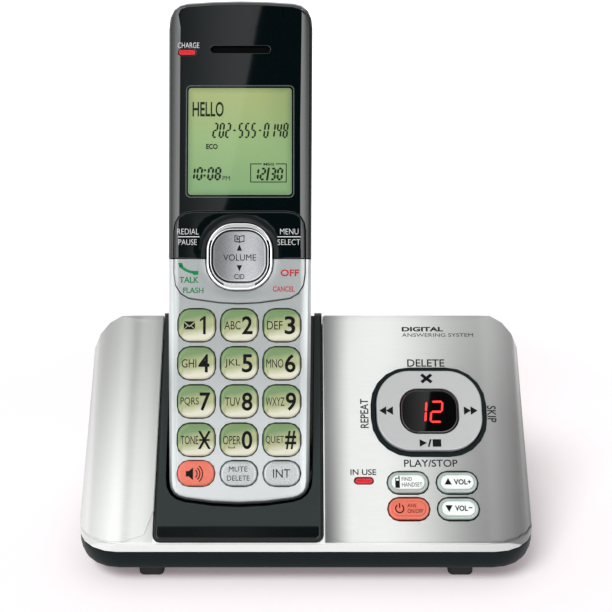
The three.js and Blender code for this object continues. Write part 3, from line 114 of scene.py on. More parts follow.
def linear(red, green, blue):
    """A colour given in the screen's 0 to 255, as the linear colour that Blender works in."""
    shares = [value / 255 for value in (red, green, blue)]
    return tuple(s / 12.92 if s <= 0.04045 else ((s + 0.055) / 1.055) ** 2.4 for s in shares) + (1.0,)


def length(name, description, millimetres):
    return bpy.props.FloatProperty(
        name=name, description=description, default=millimetres * MM, min=0, precision=5,
        unit="LENGTH", subtype="DISTANCE",
    )


def tint(name, description, red, green, blue):
    return bpy.props.FloatVectorProperty(
        name=name, description=description, default=linear(red, green, blue), size=4, min=0, max=1,
        subtype="COLOR",
    )


class TelephoneSizes(bpy.types.PropertyGroup):
    dial_key_width: length("Dial key width", "Width of a dial key", 12.4)
    dial_key_height: length("Dial key height", "Height of a dial key along the handset", 10.8)
    function_key_width: length("Function key width", "Width of a key in the bottom row", 12.4)
    function_key_height: length("Function key height", "Height of a key in the bottom row", 8.4)
    key_rise: length("Key rise", "How far the handset's keys stand out of its front", 0.9)
    key_roll: length("Key edge", "Rounding of the edge of the handset's keys", 1.0)
    column_pitch: length("Column pitch", "Distance between two columns of keys", 14.35)
    row_pitch: length("Row pitch", "Distance between two rows of dial keys", 12.8)
    bottom_row: length("Bottom dial row", "Height of the row with the zero along the handset", 20.7)
    function_row: length("Function row", "Height of the bottom row of keys along the handset", 9.5)
    nav_centre: length("Navigation centre", "Height of the navigation key along the handset", 82.3)
    nav_ring_width: length("Navigation ring width", "Outer width of the chrome ring", 22.5)
    nav_ring_height: length("Navigation ring height", "Outer height of the chrome ring", 22.8)
    screen_width: length("Screen width", "Width of the screen window", 36.1)
    screen_height: length("Screen height", "Height of the screen window", 37.8)
    screen_centre: length("Screen centre", "Height of the screen's middle along the handset", 121.7)
    ring_x: length("Message ring place across", "Distance of the message ring from the middle", 42.3)
    ring_t: length("Message ring place along", "Distance of the message ring up the face", 45.2)
    ring_width: length("Message ring width", "Outer width of the black bezel", 39.4)
    ring_height: length("Message ring height", "Outer height of the black bezel", 31.2)
    ring_rise: length("Message ring rise", "How far the message ring key stands out of the face", 2.3)
    window_width: length("Counter window width", "Width of the message counter's window", 19.5)
    window_height: length("Counter window height", "Height of the message counter's window", 15.2)
    base_key_width: length("Base key width", "Width of a key on the base", 13.5)
    base_key_height: length("Base key height", "Height of a key on the base", 7.0)
    ink: length("Ink thickness", "Thickness of the printed letters", 0.03)


class TelephoneColours(bpy.types.PropertyGroup):
    silver: tint("Silver", "Brushed silver of the base", 233, 235, 233)
    bright_silver: tint("Bright silver", "Silver of the handset's keypad front", 158, 162, 163)
    dark: tint("Dark shell", "Bottom shell and back of the handset", 12, 25, 27)
    slate: tint("Slate", "Cradle tray", 17, 29, 28)
    gloss_black: tint("Gloss black", "Upper front of the handset", 6, 15, 17)
    white: tint("White keys", "Caps of the base's keys", 246, 250, 248)
    key_rim: tint("Key rims", "Clear rims round the base's keys", 172, 186, 182)
    orange: tint("Orange keys", "Speaker key and answer on/off key", 232, 112, 88)
    grey_key: tint("Grey keys", "Mute and intercom keys", 186, 191, 192)
    key_top: tint("Dial key, upper part", "Colour at the upper edge of a dial key", 112, 143, 90)
    key_middle: tint("Dial key, middle", "Colour in the middle of a dial key", 170, 176, 128)
    key_foot: tint("Dial key, lower part", "Colour at the lower edge of a dial key", 226, 224, 202)
    screen_top: tint("Screen, upper part", "Colour of the lit screen at its upper edge", 169, 179, 121)
    screen_foot: tint("Screen, lower part", "Colour of the lit screen at its lower edge", 130, 166, 119)
    red_light: tint("Lights", "Charge light and in-use light", 214, 32, 42)
    red_digits: tint("Counter digits", "Lit digits of the message counter", 255, 52, 48)
    talk_green: tint("Talk green", "Legend of the talk key", 20, 136, 78)
    off_red: tint("Off red", "Legend of the off key", 204, 36, 46)
    floor: tint("Floor", "Floor under the telephone", 244, 241, 242)


def size(name):
    """A size from the panel, in millimetres."""
    return getattr(bpy.context.scene.telephone_sizes, name) / MM


def colour(name):
    return tuple(getattr(bpy.context.scene.telephone_colours, name))


# Materials


def lit(shade, share):
    """The colour with its light multiplied by the share."""
    return tuple(min(1, value * share) for value in shade[:3]) + (1,)


class Wire:
    """A value that runs along a material's links, written in sums and products."""

    def __init__(self, paint, socket):
        self.paint = paint
        self.socket = socket

    def __add__(self, other):
        return self.paint.maths("ADD", self, other)

    def __sub__(self, other):
        return self.paint.maths("SUBTRACT", self, other)

    def __rsub__(self, other):
        return self.paint.maths("SUBTRACT", other, self)

    def __mul__(self, other):
        return self.paint.maths("MULTIPLY", self, other)

    def __truediv__(self, other):
        return self.paint.maths("DIVIDE", self, other)

    __radd__ = __add__
    __rmul__ = __mul__


class Paint:
    """A material, or the world that is handed to it, while it is being mixed."""

    def __init__(self, name, world=None):
        self.material = world or bpy.data.materials.new("finish_" + name)
        self.material.use_nodes = True
        self.tree = self.material.node_tree
        self.shader = self.tree.nodes["Background" if world else "Principled BSDF"]

    def node(self, kind, settings=None, sockets=None, output=0):
        """Adds any node: its settings are set first, then its sockets' values or links."""
        made = self.tree.nodes.new("ShaderNode" + kind)
        for name, value in (settings or {}).items():
            if name == "stops":
                ramp = made.color_ramp
                while len(ramp.elements) < len(value):
                    ramp.elements.new(1)
                for element, (place, shade) in zip(ramp.elements, value):
                    element.position = place
                    element.color = shade
            else:
                setattr(made, name, value)
        for name, value in (sockets or {}).items():
            self.feed(made.inputs[name], value)
        return Wire(self, made.outputs[output])

    def feed(self, socket, value):
        if isinstance(value, Wire):
            self.tree.links.new(value.socket, socket)
        else:
            socket.default_value = value

    def shade(self, **sockets):
        """Feeds the shader: base_color becomes Base Color, and so on."""
        for name, value in sockets.items():
            self.feed(self.shader.inputs[name.replace("_", " ").title().replace("Ior", "IOR")], value)
        return self.material

    def maths(self, operation, *values):
        return self.node("Math", {"operation": operation}, dict(enumerate(values)))

    def step(self, value, low, high):
        """0 below low and 1 above high, smooth between them."""
        sockets = {"Value": value, "From Min": low, "From Max": high}
        return self.node("MapRange", {"interpolation_type": "SMOOTHSTEP"}, sockets)

    def greater(self, first, second):
        return self.maths("MAXIMUM", first, second)

    def blend(self, factor, first, second):
        return self.node("Mix", {"data_type": "RGBA"}, {0: factor, 6: first, 7: second}, output=2)

    def varied(self, shade, amount, mask):
        """The colour, a little darker where the mask is 0 and a little lighter where it is 1."""
        return self.blend(mask, lit(shade, 1 - amount), lit(shade, 1 + amount))

    def place(self, board, feature=1):
        """Object coordinates in a frame, counted in features of the given size or sizes in millimetres."""
        sizes = feature if isinstance(feature, tuple) else (feature,) * 3
        sockets = {
            "Vector": self.node("TexCoord", output="Object"),
            "Location": board.to_translation(),
            "Rotation": board.to_euler(),
            "Scale": [value * MM for value in sizes],
        }
        return self.node("Mapping", {"vector_type": "TEXTURE"}, sockets)

    def axes(self, board):
        """The places across, along and out of a frame, in millimetres."""
        vector = self.place(board)
        return [self.node("SeparateXYZ", None, {0: vector}, output=axis) for axis in range(3)]

    def noise(self, board, feature, detail=2.0, rough=0.5):
        sockets = {"Vector": self.place(board, feature), "Scale": 1.0, "Detail": detail, "Roughness": rough}
        return self.node("TexNoise", None, sockets)

    def bump(self, height, depth, strength=1.0):
        """A bump of the given depth in millimetres."""
        return self.node("Bump", None, {"Strength": strength, "Distance": depth * MM, "Height": height})

    def seen(self):
        """1 for the rays that show a thing to the camera, straight, in a reflection or through glass."""
        rays = ("Is Camera Ray", "Is Glossy Ray", "Is Transmission Ray")
        straight, mirrored, through = (self.node("LightPath", output=name) for name in rays)
        return self.greater(self.greater(straight, mirrored), through)


def moulded(name, shade, roughness, grain=0.35, depth=0.01, amount=0.06, **more):
    """Moulded plastic or rubber with its fine texture."""
    paint = Paint(name)
    fine = paint.noise(BASE, grain, detail=3)
    broad = paint.noise(BASE, 14)
    return paint.shade(
        base_color=paint.varied(shade, amount, broad * 0.6 + fine * 0.4),
        roughness=paint.step(fine, 0.2, 0.8) * 0.12 + (roughness - 0.06),
        normal=paint.bump(fine, depth),
        **more,
    )


def brushed_silver():
    """Base silver paint in painted shade and light: brush marks across its raised panels, the rest smooth."""
    paint = Paint("silver_plastic")
    across, along, out = paint.axes(FACE)
    left = paint.step(across, LEFT_PANEL + 0.2, LEFT_PANEL - 0.2)
    right = paint.step(across, RIGHT_PANEL - 0.2, RIGHT_PANEL + 0.2)
    front = paint.step((FACE_LENGTH - along) * 0.9 + out, -7, -1)
    panel = (left + right) * paint.step(along, 0.4, 0.8) * front
    # Painted shade on the panels: darker beside the tray and towards the right side
    painted_shade_beside_tray = paint.step(across, 16, 6.5) * (0.84 - along * 0.0032)
    painted_shade_right_side = paint.step(across, 24, 62) * (0.75 - along * 0.0024)
    # Painted light on the right roll; painted shade in a band on the left roll and up the left wing
    painted_light_right_roll = paint.step(across, 60, 68) * paint.step(along, 40, 75) * 0.1
    painted_shade_band_left = paint.step(across, -65, -60) - paint.step(across, -60, -57)
    painted_shade_left = paint.step(along, 0, 82) * 0.38 + painted_shade_band_left * 0.12 + paint.step(across, -55, -51) * 0.13
    painted_panel_shade = left * (0.94 - painted_shade_left) + right * (1 - (painted_shade_beside_tray + painted_shade_right_side - painted_light_right_roll))
    hair = paint.noise(FACE, (9, 0.09, 0.09), detail=4, rough=0.6)
    fleck = paint.noise(FACE, 0.12, detail=1)
    streak = hair * 0.75 + fleck * 0.25
    silver = colour("silver")
    # Painted light and shade on the smooth parts: a lighter copy of the silver, a darker one at the right
    smooth = paint.blend(paint.step(across, 30, 66) * front, lit(silver, 1.14), lit(silver, 0.9))
    brush_marks_and_painted_shade = paint.blend(painted_panel_shade, BLACK, paint.varied(silver, 0.035, paint.step(streak, 0.32, 0.68)))
    return paint.shade(
        base_color=paint.blend(panel, smooth, brush_marks_and_painted_shade),
        metallic=0.2,
        roughness=paint.step(streak, 0.3, 0.7) * panel * 0.08 + 0.27,
        normal=paint.bump(streak * panel, 0.005),
    )


def satin_silver(name, shade, board, metallic=0.5, roughness=0.3, fade=0.0, edge=0.0, sweep=False):
    """Silver paint with tiny flakes and painted light by the fade towards the foot and along the upper sides.
    On keys the rolled edge has painted shade by its share; a painted reflection crosses the navigation key."""
    paint = Paint(name)
    flake = paint.node("TexVoronoi", None, {"Vector": paint.place(board, 0.16), "Scale": 1.0})
    grain = flake * 0.6 + paint.noise(board, 20) * 0.4
    across, along, out = paint.axes(board)
    # Painted light: lighter by the fade towards the foot and along the upper sides
    sides = paint.step(paint.maths("ABSOLUTE", across), 20.2, 22.6) * paint.step(along, 30, 62)
    lighter = paint.greater(paint.step(along, 60, 2), sides)
    upper, foot = (paint.varied(each, 0.08, grain) for each in (shade, lit(shade, 1 + fade)))
    body = paint.blend(lighter, upper, foot)
    if edge:
        # Painted shade on the rolled edge of a key
        body = paint.blend(paint.step(out, 0.8, 0.3) * edge, body, BLACK)
    if sweep:
        # Painted reflection: a bright band across the key, darker to either side
        light = paint.step(across, -8, 3.5) - paint.step(across, 4.5, 9) * 0.4
        body = paint.blend(light, lit(shade, 0.34), body)
    return paint.shade(
        base_color=body, metallic=metallic, roughness=flake * 0.1 + roughness,
        normal=paint.bump(flake, 0.004),
    )


def tray_plastic():
    """The cradle: matte on top, polished where its edge rolls down and below its fold."""
    paint = Paint("slate_plastic")
    along, out = paint.axes(FACE)[1:]
    matte = paint.step(out, 0.55, 0.88) * paint.step(along, TRAY_FOLD - 0.5, TRAY_FOLD + 0.5)
    fine = paint.noise(FACE, 0.22, detail=3)
    grained = paint.varied(colour("slate"), 0.12, fine * 0.6 + paint.noise(FACE, 18) * 0.4)
    return paint.shade(
        base_color=paint.blend(matte, lit(colour("slate"), 0.35), grained),
        roughness=matte * 0.34 + fine * 0.1 + 0.1,
        normal=paint.bump(fine * matte, 0.02),
        specular_ior_level=0.35,
    )


def polished_black(name, shade, roughness=0.035, duller=None, **more):
    """Polished black plastic with the faint waves of its moulding. Where it is duller it loses its coat: on
    the handset's sides or, on the rocker, round the arch over the ring."""
    paint = Paint(name)
    wave = paint.noise(HANDSET, 30)
    dust = paint.noise(HANDSET, 0.5, detail=3)
    across, along = paint.axes(HANDSET)[:2]
    beside = paint.maths("ABSOLUTE", across)
    coat, rough = 1.0, paint.step(dust, 0.55, 0.75) * 0.03 + roughness
    if duller == "sides":
        edge = paint.step(beside, 21.0, 23.2)
        coat, rough = 1 - edge, rough + edge * 0.25
    if duller == "arch":
        up = along - size("nav_centre")
        reach = paint.maths("SQRT", across * across + up * up)
        arch = paint.step(reach, 13.9, 12.2) * paint.step(beside, 12, 5)
        coat = paint.greater(arch, paint.step(reach, 14.0, 15.5))
    return paint.shade(
        base_color=paint.varied(shade, 0.2, wave), roughness=rough, normal=paint.bump(wave, 0.02, 0.4),
        coat_weight=coat, **more,
    )


def dial_key_plastic():
    """Dial keys with painted light: green at the top and left, lime in the middle, cream at the lower edge."""
    paint = Paint("lime_key")
    across, along = paint.axes(HANDSET)[:2]
    height = paint.maths("FRACT", (along - (size("bottom_row") - size("row_pitch") / 2)) / size("row_pitch"))
    side = paint.maths("FRACT", (across + size("column_pitch") * 1.5) / size("column_pitch"))
    half = size("dial_key_height") / size("row_pitch") / 2
    cloud = paint.noise(HANDSET, 3)
    # Painted light: cream at a key's foot to green at its top, greener on its left and by its left edge
    level = (height - (0.5 - half)) / (2 * half) + (0.5 - side) * 0.24 + (cloud - 0.5) * 0.1
    level = level + paint.step(side, 0.22, 0.07) * 0.3
    shades = [colour("key_" + part) for part in ("foot", "foot", "middle", "middle", "top", "top")]
    stops = list(zip((0.0, 0.16, 0.4, 0.6, 0.8, 1.0), shades))
    fine = paint.noise(HANDSET, 0.4, detail=2)
    return paint.shade(
        base_color=paint.node("ValToRGB", {"stops": stops}, {0: level}), roughness=fine * 0.08 + 0.2,
        normal=paint.bump(fine, 0.003), coat_weight=0.6,
    )


def soft_key(name, shade, board, coat=0.5, amount=0.07):
    """Key plastic under a clear coat, a little cloudy."""
    paint = Paint(name)
    cloud = paint.noise(board, 4)
    fine = paint.noise(board, 0.3, detail=2)
    return paint.shade(
        base_color=paint.varied(shade, amount, cloud), roughness=fine * 0.12 + 0.22,
        normal=paint.bump(fine, 0.004), coat_weight=coat,
    )


def lit_screen():
    """The lit screen under its polished window, greener towards its foot, with a dot grid and painted shadow.
    """
    paint = Paint("screen_green")
    across, along = paint.axes(HANDSET)[:2]
    half = size("screen_width") / 2
    level = (along - (size("screen_centre") - size("screen_height") / 2)) / size("screen_height")
    beside = paint.step(paint.maths("ABSOLUTE", across), half - 3, half)
    above = paint.step(paint.maths("ABSOLUTE", level - 0.5), 0.42, 0.5)
    grid = paint.node("TexVoronoi", {"distance": "CHEBYCHEV"}, {
        "Vector": paint.place(HANDSET, 0.35), "Scale": 1.0, "Randomness": 0.0})
    stops = [(0.0, colour("screen_foot")), (0.5, linear(150, 179, 125)), (1.0, colour("screen_top"))]
    base = paint.node("ValToRGB", {"stops": stops}, {0: level})
    # Painted shadow, darker towards the right and along the window's edges; the faint dot grid is the screen's
    # own
    right = paint.step(across, 4, 18) * paint.step(level, 0.1, 0.9) * 0.3
    shadow = paint.greater(beside, above) * 0.45 + grid * 0.06 + right
    shaded = paint.blend(shadow, base, lit(colour("screen_foot"), 0.5))
    return paint.shade(
        base_color=shaded, emission_color=shaded, emission_strength=0.12, roughness=0.04, coat_weight=0.4,
    )


def lamp_plastic(name, shade, strength, board=HANDSET):
    """Clear coloured plastic with a lamp behind it."""
    paint = Paint(name)
    body = paint.varied(shade, 0.2, paint.noise(board, 0.8))
    return paint.shade(
        base_color=body, emission_color=body, emission_strength=strength, roughness=0.18, coat_weight=0.6,
    )


def ink(name, shade, strength=0.0):
    """Printed ink, a little uneven, with a painted glow of the given strength."""
    paint = Paint(name)
    fine = paint.noise(BASE, 0.25, detail=2)
    body = paint.varied(shade, 0.1, fine)
    return paint.shade(
        base_color=body, emission_color=body, emission_strength=strength, roughness=fine * 0.2 + 0.4,
        specular_ior_level=0.1,
    )


def metal(name, shade, roughness, feature=0.2, amount=0.08):
    paint = Paint(name)
    grain = paint.noise(BASE, feature, detail=3)
    return paint.shade(
        base_color=paint.varied(shade, amount, grain), metallic=1.0,
        roughness=grain * 0.12 + max(0, roughness - 0.06), normal=paint.bump(grain, 0.002),
    )


def circuit_laminate():
    """Green board with its copper tracks, pads and solder."""
    paint = Paint("board_laminate")
    tracks = paint.node("TexBrick", None, {
        "Vector": paint.place(BASE, (5, 2.5, 2.5)), "Scale": 1.0, "Mortar Size": 0.09, "Color1": BLACK,
        "Color2": BLACK, "Mortar": WHITE}, output="Color")
    pads = paint.node("TexVoronoi", None, {"Vector": paint.place(BASE, 2.4), "Scale": 1.0})
    solder = paint.step(pads, 0.2, 0.14)
    board = paint.blend(tracks, linear(24, 92, 50), linear(60, 130, 76))
    return paint.shade(
        base_color=paint.blend(solder, board, linear(190, 192, 194)), metallic=solder * 0.9,
        roughness=0.5 - solder * 0.2, normal=paint.bump(solder, 0.1),
    )


def battery_film():
    """Shrunk film round the cells, with a white band."""
    paint = Paint("battery_sleeve")
    along = paint.axes(HANDSET)[1]
    band = paint.step(along, 100, 100.3) - paint.step(along, 106, 106.3)
    wrinkle = paint.noise(HANDSET, (3, 0.8, 3), detail=3)
    return paint.shade(
        base_color=paint.blend(band, linear(52, 100, 160), linear(225, 228, 230)),
        roughness=wrinkle * 0.15 + 0.25, normal=paint.bump(wrinkle, 0.08),
    )


def finishes():
    """Mixes every material once; a material that the record has a slot for is named like the slot."""
    if "finish_silver_plastic" in bpy.data.materials:
        return
    brushed_silver()
    satin_silver("bright_silver", colour("bright_silver"), HANDSET, fade=0.6)
    satin_silver("ring_silver", linear(182, 185, 184), FACE, metallic=0.3, roughness=0.34)
    satin_silver("key_silver", linear(196, 198, 202), HANDSET, metallic=0.8, roughness=0.24, sweep=True)
    satin_silver("grey_key", colour("grey_key"), HANDSET, metallic=0.45, roughness=0.22, edge=0.5)
    satin_silver("screen_frame", linear(92, 98, 100), HANDSET, metallic=0.45, roughness=0.22)
    moulded("dark_plastic", colour("dark"), 0.42, depth=0.012, amount=0.12, specular_ior_level=0.12)
    tray_plastic()
    polished_black("gloss_black", colour("gloss_black"), duller="sides")
    polished_black("rocker_black", colour("gloss_black"), duller="arch", specular_ior_level=0.12)
    polished_black("counter_window", linear(8, 8, 9), roughness=0.02)
    moulded("black_rubber", linear(18, 20, 20), 0.8, grain=0.3, depth=0.03, amount=0.2)
    moulded("earpiece_cloth", linear(5, 6, 6), 0.9, depth=0.03, amount=0.3, specular_ior_level=0.05)
    moulded("grey_rubber", linear(139, 144, 144), 0.7, grain=0.4, depth=0.02)
    moulded("jack_plastic", linear(24, 26, 27), 0.45, amount=0.15)
    soft_key("white_key", colour("white"), FACE, amount=0.04)
    soft_key("rim_plastic", colour("key_rim"), FACE, coat=1.0, amount=0.12)
    soft_key("orange_key", colour("orange"), BASE, amount=0.08)
    dial_key_plastic()
    lit_screen()
    lamp_plastic("red_light", colour("red_light"), 0.15)
    lamp_plastic("counter_digits", colour("red_digits"), 1.0, FACE)
    ink("black_ink", linear(12, 14, 16))
    # Painted light: the white ink glows a little
    ink("white_ink", linear(232, 234, 234), 0.1)
    ink("dark_grey_ink", linear(36, 40, 44))
    ink("green_ink", colour("talk_green"))
    ink("red_ink", colour("off_red"))
    ink("screen_ink", linear(26, 38, 26))
    metal("chrome", linear(238, 240, 242), 0.05, amount=0.03)
    metal("steel", linear(168, 170, 172), 0.32, (0.1, 2.0, 2.0))
    metal("contact_metal", linear(222, 184, 96), 0.22)
    circuit_laminate()
    battery_film()


# Modelling with Blender's own operators


def activate(*pieces):
    bpy.ops.object.select_all(action="DESELECT")
    for piece in pieces:
        piece.select_set(True)
    bpy.context.view_layer.objects.active = pieces[0]


def added(name, operator, **place):
    """A new primitive with its place in its mesh."""
    bpy.ops.object.select_all(action="DESELECT")
    operator(**place)
    piece = bpy.context.object
    piece.name = name
    bpy.ops.object.transform_apply(location=True, rotation=True, scale=True)
    return piece


def choose(piece, kind, test):
    """Selects the corners, edges or faces that pass the test, in edit mode."""
    bpy.ops.mesh.select_mode(type=kind)
    bpy.ops.mesh.select_all(action="DESELECT")
    shape = bmesh.from_edit_mesh(piece.data)
    for item in {"VERT": shape.verts, "EDGE": shape.edges, "FACE": shape.faces}[kind]:
        if test(item):
            item.select_set(True)
    bmesh.update_edit_mesh(piece.data)


def upright(edge):
    first, second = edge.verts
    return (first.co - second.co).xy.length < TINY


def level_at(height):
    return lambda item: all(abs(corner.co.z - height * MM) < TINY for corner in item.verts)


def slab(name, width, height, low, high, radius=0, roll=0, centre=(0, 0), foot=0, steps=10, roll_steps=4):
    """A plate lying in its frame, in millimetres, with its corners, upper edge and lower edge rounded."""
    piece = added(
        name, bpy.ops.mesh.primitive_cube_add, size=1,
        location=(centre[0] * MM, centre[1] * MM, (low + high) / 2 * MM),
        scale=(width * MM, height * MM, (high - low) * MM),
    )
    bpy.ops.object.mode_set(mode="EDIT")
    if radius:
        choose(piece, "EDGE", upright)
        bpy.ops.mesh.bevel(offset=radius * MM, segments=steps, affect="EDGES")
    for height_of_edge, amount in ((high, roll), (low, foot)):
        if amount:
            choose(piece, "EDGE", level_at(height_of_edge))
            bpy.ops.mesh.bevel(offset=amount * MM, segments=roll_steps, affect="EDGES")
    bpy.ops.object.mode_set(mode="OBJECT")
    return piece


def rod(name, radius, low, high, roll):
    """A round pin standing in its frame, with its upper edge rounded."""
    piece = added(
        name, bpy.ops.mesh.primitive_cylinder_add, vertices=32, radius=radius * MM, depth=(high - low) * MM,
        location=(0, 0, (low + high) / 2 * MM),
    )
    bpy.ops.object.mode_set(mode="EDIT")
    choose(piece, "EDGE", level_at(high))
    bpy.ops.mesh.bevel(offset=roll * MM, segments=3, affect="EDGES")
    bpy.ops.object.mode_set(mode="OBJECT")
    return piece


def hole(width, height, radius=0, centre=(0, 0), steps=10, reach=9):
    """A plate to cut with, which reaches as far below its frame as above it."""
    return slab("opening", width, height, -reach, reach, radius=radius, centre=centre, steps=steps)


def apply_change(piece, kind, **settings):
    """Adds a modifier with its settings and applies it."""
    activate(piece)
    change = piece.modifiers.new(kind, kind)
    for name, value in settings.items():
        setattr(change, name, value)
    bpy.ops.object.modifier_apply(modifier=change.name)


def cut(piece, *tools, operation="DIFFERENCE"):
    for tool in tools:
        apply_change(piece, "BOOLEAN", operation=operation, solver="EXACT", object=tool)
        bpy.data.objects.remove(tool)
    return piece


def joined(*pieces):
    activate(*pieces)
    if len(pieces) > 1:
        bpy.ops.object.join()
    return pieces[0]


def soften(piece, width=0, segments=2, angle=32, weight=90):
    """Rounds the sharp edges by the width in millimetres and shades the piece smooth."""
    if width:
        apply_change(
            piece, "BEVEL", width=width * MM, segments=segments, limit_method="ANGLE",
            angle_limit=math.radians(angle), use_clamp_overlap=False,
        )
    activate(piece)
    bpy.ops.object.shade_smooth_by_angle(angle=math.radians(angle))
    apply_change(piece, "WEIGHTED_NORMAL", keep_sharp=True, weight=weight)
    return piece


def placed(piece, place):
    """Moves and turns the piece's mesh by the matrix."""
    piece.matrix_world = place @ piece.matrix_world
    activate(piece)
    bpy.ops.object.transform_apply(location=True, rotation=True, scale=True)
    return piece


def settle(piece, board, body, finish, *nodes, slot=None):
    """Turns the piece into its place, puts it on its body and gives it its finish."""
    placed(piece, board)
    piece.data.name = piece.name
    piece.data.materials.clear()
    piece.data.materials.append(bpy.data.materials["finish_" + finish])
    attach(piece, body)
    if nodes:
        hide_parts(*nodes)
    slots = [entry["slot"] for entry in frame["record"]["materials"]]
    finish in slots or slot


def copied(piece, name, shift=(0, 0, 0)):
    """A copy with its own mesh, shifted by millimetres."""
    other = bpy.data.objects.new(name, piece.data.copy())
    bpy.context.scene.collection.objects.link(other)
    return placed(other, Matrix.Translation([value * MM for value in shift]) @ piece.matrix_world)


def body_of(node):
    return frame["nodes"][node]["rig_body"]


def fold_sides(piece, top):
    """Folds the sides of the handset's front a little back, along a sharp line; top is the front's height."""
    turn, back = HANDSET.to_3x3(), HANDSET.inverted()
    bpy.ops.object.mode_set(mode="EDIT")
    for side in (-FOLD_LINE, FOLD_LINE):
        bpy.ops.mesh.select_all(action="SELECT")
        bpy.ops.mesh.bisect(plane_co=HANDSET @ Vector((side * MM, 0, 0)), plane_no=turn @ Vector((1, 0, 0)))

    def on_line(edge):
        spots = [back @ end.co / MM for end in edge.verts]
        return all(abs(abs(s.x) - FOLD_LINE) < 0.01 and abs(s.z - top) < 0.02 for s in spots)

    def beyond(corner):
        spot = back @ corner.co / MM
        return abs(spot.x) > FOLD_LINE + 0.4 and abs(spot.z - top) < 0.02

    choose(piece, "EDGE", on_line)
    bpy.ops.mesh.mark_sharp()
    choose(piece, "VERT", beyond)
    bpy.ops.transform.translate(value=turn @ Vector((0, 0, -FOLD_DROP * MM)))
    bpy.ops.object.mode_set(mode="OBJECT")


def smooth_rolls(piece):
    """Shades the rolled sides of the base's top shell as one curve instead of strips."""
    def curve(spot, slope):
        share = min(1, max(0, (abs(spot.x) / MM - ROLL_START) / ROLL_WIDTH))
        side = Vector((math.copysign(1, spot.x), 0, 0))
        return (side * share / ROLL_WIDTH + slope * math.sqrt(1 - share * share) / ROLL_HEIGHT).normalized()

    mesh = piece.data
    slopes = (FACE.to_3x3() @ Vector((0, 0, 1)), BEHIND_RIDGE)
    normals = [Vector(corner.vector) for corner in mesh.corner_normals]
    for face in mesh.polygons:
        for slope in slopes:
            if abs(face.center.x) > 60 * MM and face.normal.dot(curve(face.center, slope)) > ROLL_MATCH:
                for loop in face.loop_indices:
                    normals[loop] = curve(mesh.vertices[mesh.loops[loop].vertex_index].co, slope)
    mesh.normals_split_custom_set(normals)


def refined(node, finish, width, segments=2, angle=32, fold=None, weight=90, slot=None, rolls=False):
    """A merged copy of a CAD node, its flat faces joined and its sharp edges rounded. A fold is the height of
    the handset's front whose sides are folded back; rolls are the rolled sides of the base, shaded round."""
    piece = bpy.data.objects.new(node + "_skin", frame["nodes"][node].data.copy())
    bpy.context.scene.collection.objects.link(piece)
    activate(piece)
    bpy.ops.mesh.customdata_custom_splitnormals_clear()
    bpy.ops.object.mode_set(mode="EDIT")
    bpy.ops.mesh.select_all(action="SELECT")
    bpy.ops.mesh.remove_doubles(threshold=TINY)
    bpy.ops.mesh.dissolve_limited(angle_limit=math.radians(0.5))
    bpy.ops.object.mode_set(mode="OBJECT")
    if fold is not None:
        fold_sides(piece, fold)
    soften(piece, width, segments, angle, weight)
    if rolls:
        smooth_rolls(piece)
    settle(piece, BASE, body_of(node), finish, node, slot=slot)


def dress(finish, *nodes):
    """Gives CAD nodes whose shape is right their finish."""
    for node in nodes:
        frame["nodes"][node].material_slots[0].material = bpy.data.materials["finish_" + finish]


# Printing


def word(text, left, right, low, high, turn=0, weight=0.0):
    """A word as flat faces that fill the given box, in millimetres."""
    bpy.ops.object.select_all(action="DESELECT")
    bpy.ops.object.text_add()
    piece = bpy.context.object
    piece.data.body = text
    piece.data.resolution_u = 4
    piece.data.offset = weight
    bpy.ops.object.convert(target="MESH")
    piece = bpy.context.object
    piece.rotation_euler.z = math.radians(turn)
    bpy.ops.object.transform_apply(location=True, rotation=True, scale=True)
    spots = [corner.co for corner in piece.data.vertices]
    start = Vector((min(s.x for s in spots), min(s.y for s in spots), 0))
    end = Vector((max(s.x for s in spots), max(s.y for s in spots), 0))
    scale = Vector(((right - left) / (end.x - start.x), (high - low) / (end.y - start.y), 1)) * MM
    piece.scale = scale
    piece.location = (left * MM - start.x * scale.x, low * MM - start.y * scale.y, 0)
    bpy.ops.object.transform_apply(location=True, rotation=True, scale=True)
    bpy.ops.object.mode_set(mode="EDIT")
    bpy.ops.mesh.select_all(action="SELECT")
    bpy.ops.mesh.remove_doubles(threshold=TINY)
    bpy.ops.object.mode_set(mode="OBJECT")
    return piece


def plate(points):
    """A flat face with the given corners, in millimetres."""
    area = sum(a[0] * b[1] - b[0] * a[1] for a, b in zip(points, points[1:] + points[:1]))
    if area < 0:
        points = points[::-1]
    piece = added("plate", bpy.ops.mesh.primitive_circle_add, vertices=len(points), fill_type="NGON")
    for corner, (x, y) in zip(piece.data.vertices, points):
        corner.co = (x * MM, y * MM, 0)
    return piece


def bar(left, right, low, high):
    return plate([(left, low), (right, low), (right, high), (left, high)])


def arc_band(x, y, inner, outer, start, end, steps=14):
    """A bent band round a centre, from one angle to another in degrees."""
    angles = [math.radians(start + (end - start) * step / steps) for step in range(steps + 1)]
    return plate(
        [(x + outer * math.cos(a), y + outer * math.sin(a)) for a in angles]
        + [(x + inner * math.cos(a), y + inner * math.sin(a)) for a in reversed(angles)]
    )


SEGMENTS = {
    "0": "abcdef", "1": "bc", "2": "abged", "3": "abgcd", "4": "fgbc", "5": "afgcd", "6": "afgecd",
    "7": "abc", "8": "abcdefg", "9": "abcdfg", "-": "g", "/": "", ":": "", " ": "",
}
STROKES = {
    "a": ((0, 2), (1, 2)), "b": ((1, 2), (1, 1)), "c": ((1, 1), (1, 0)), "d": ((1, 0), (0, 0)),
    "e": ((0, 0), (0, 1)), "f": ((0, 1), (0, 2)), "g": ((0, 1), (1, 1)),
}


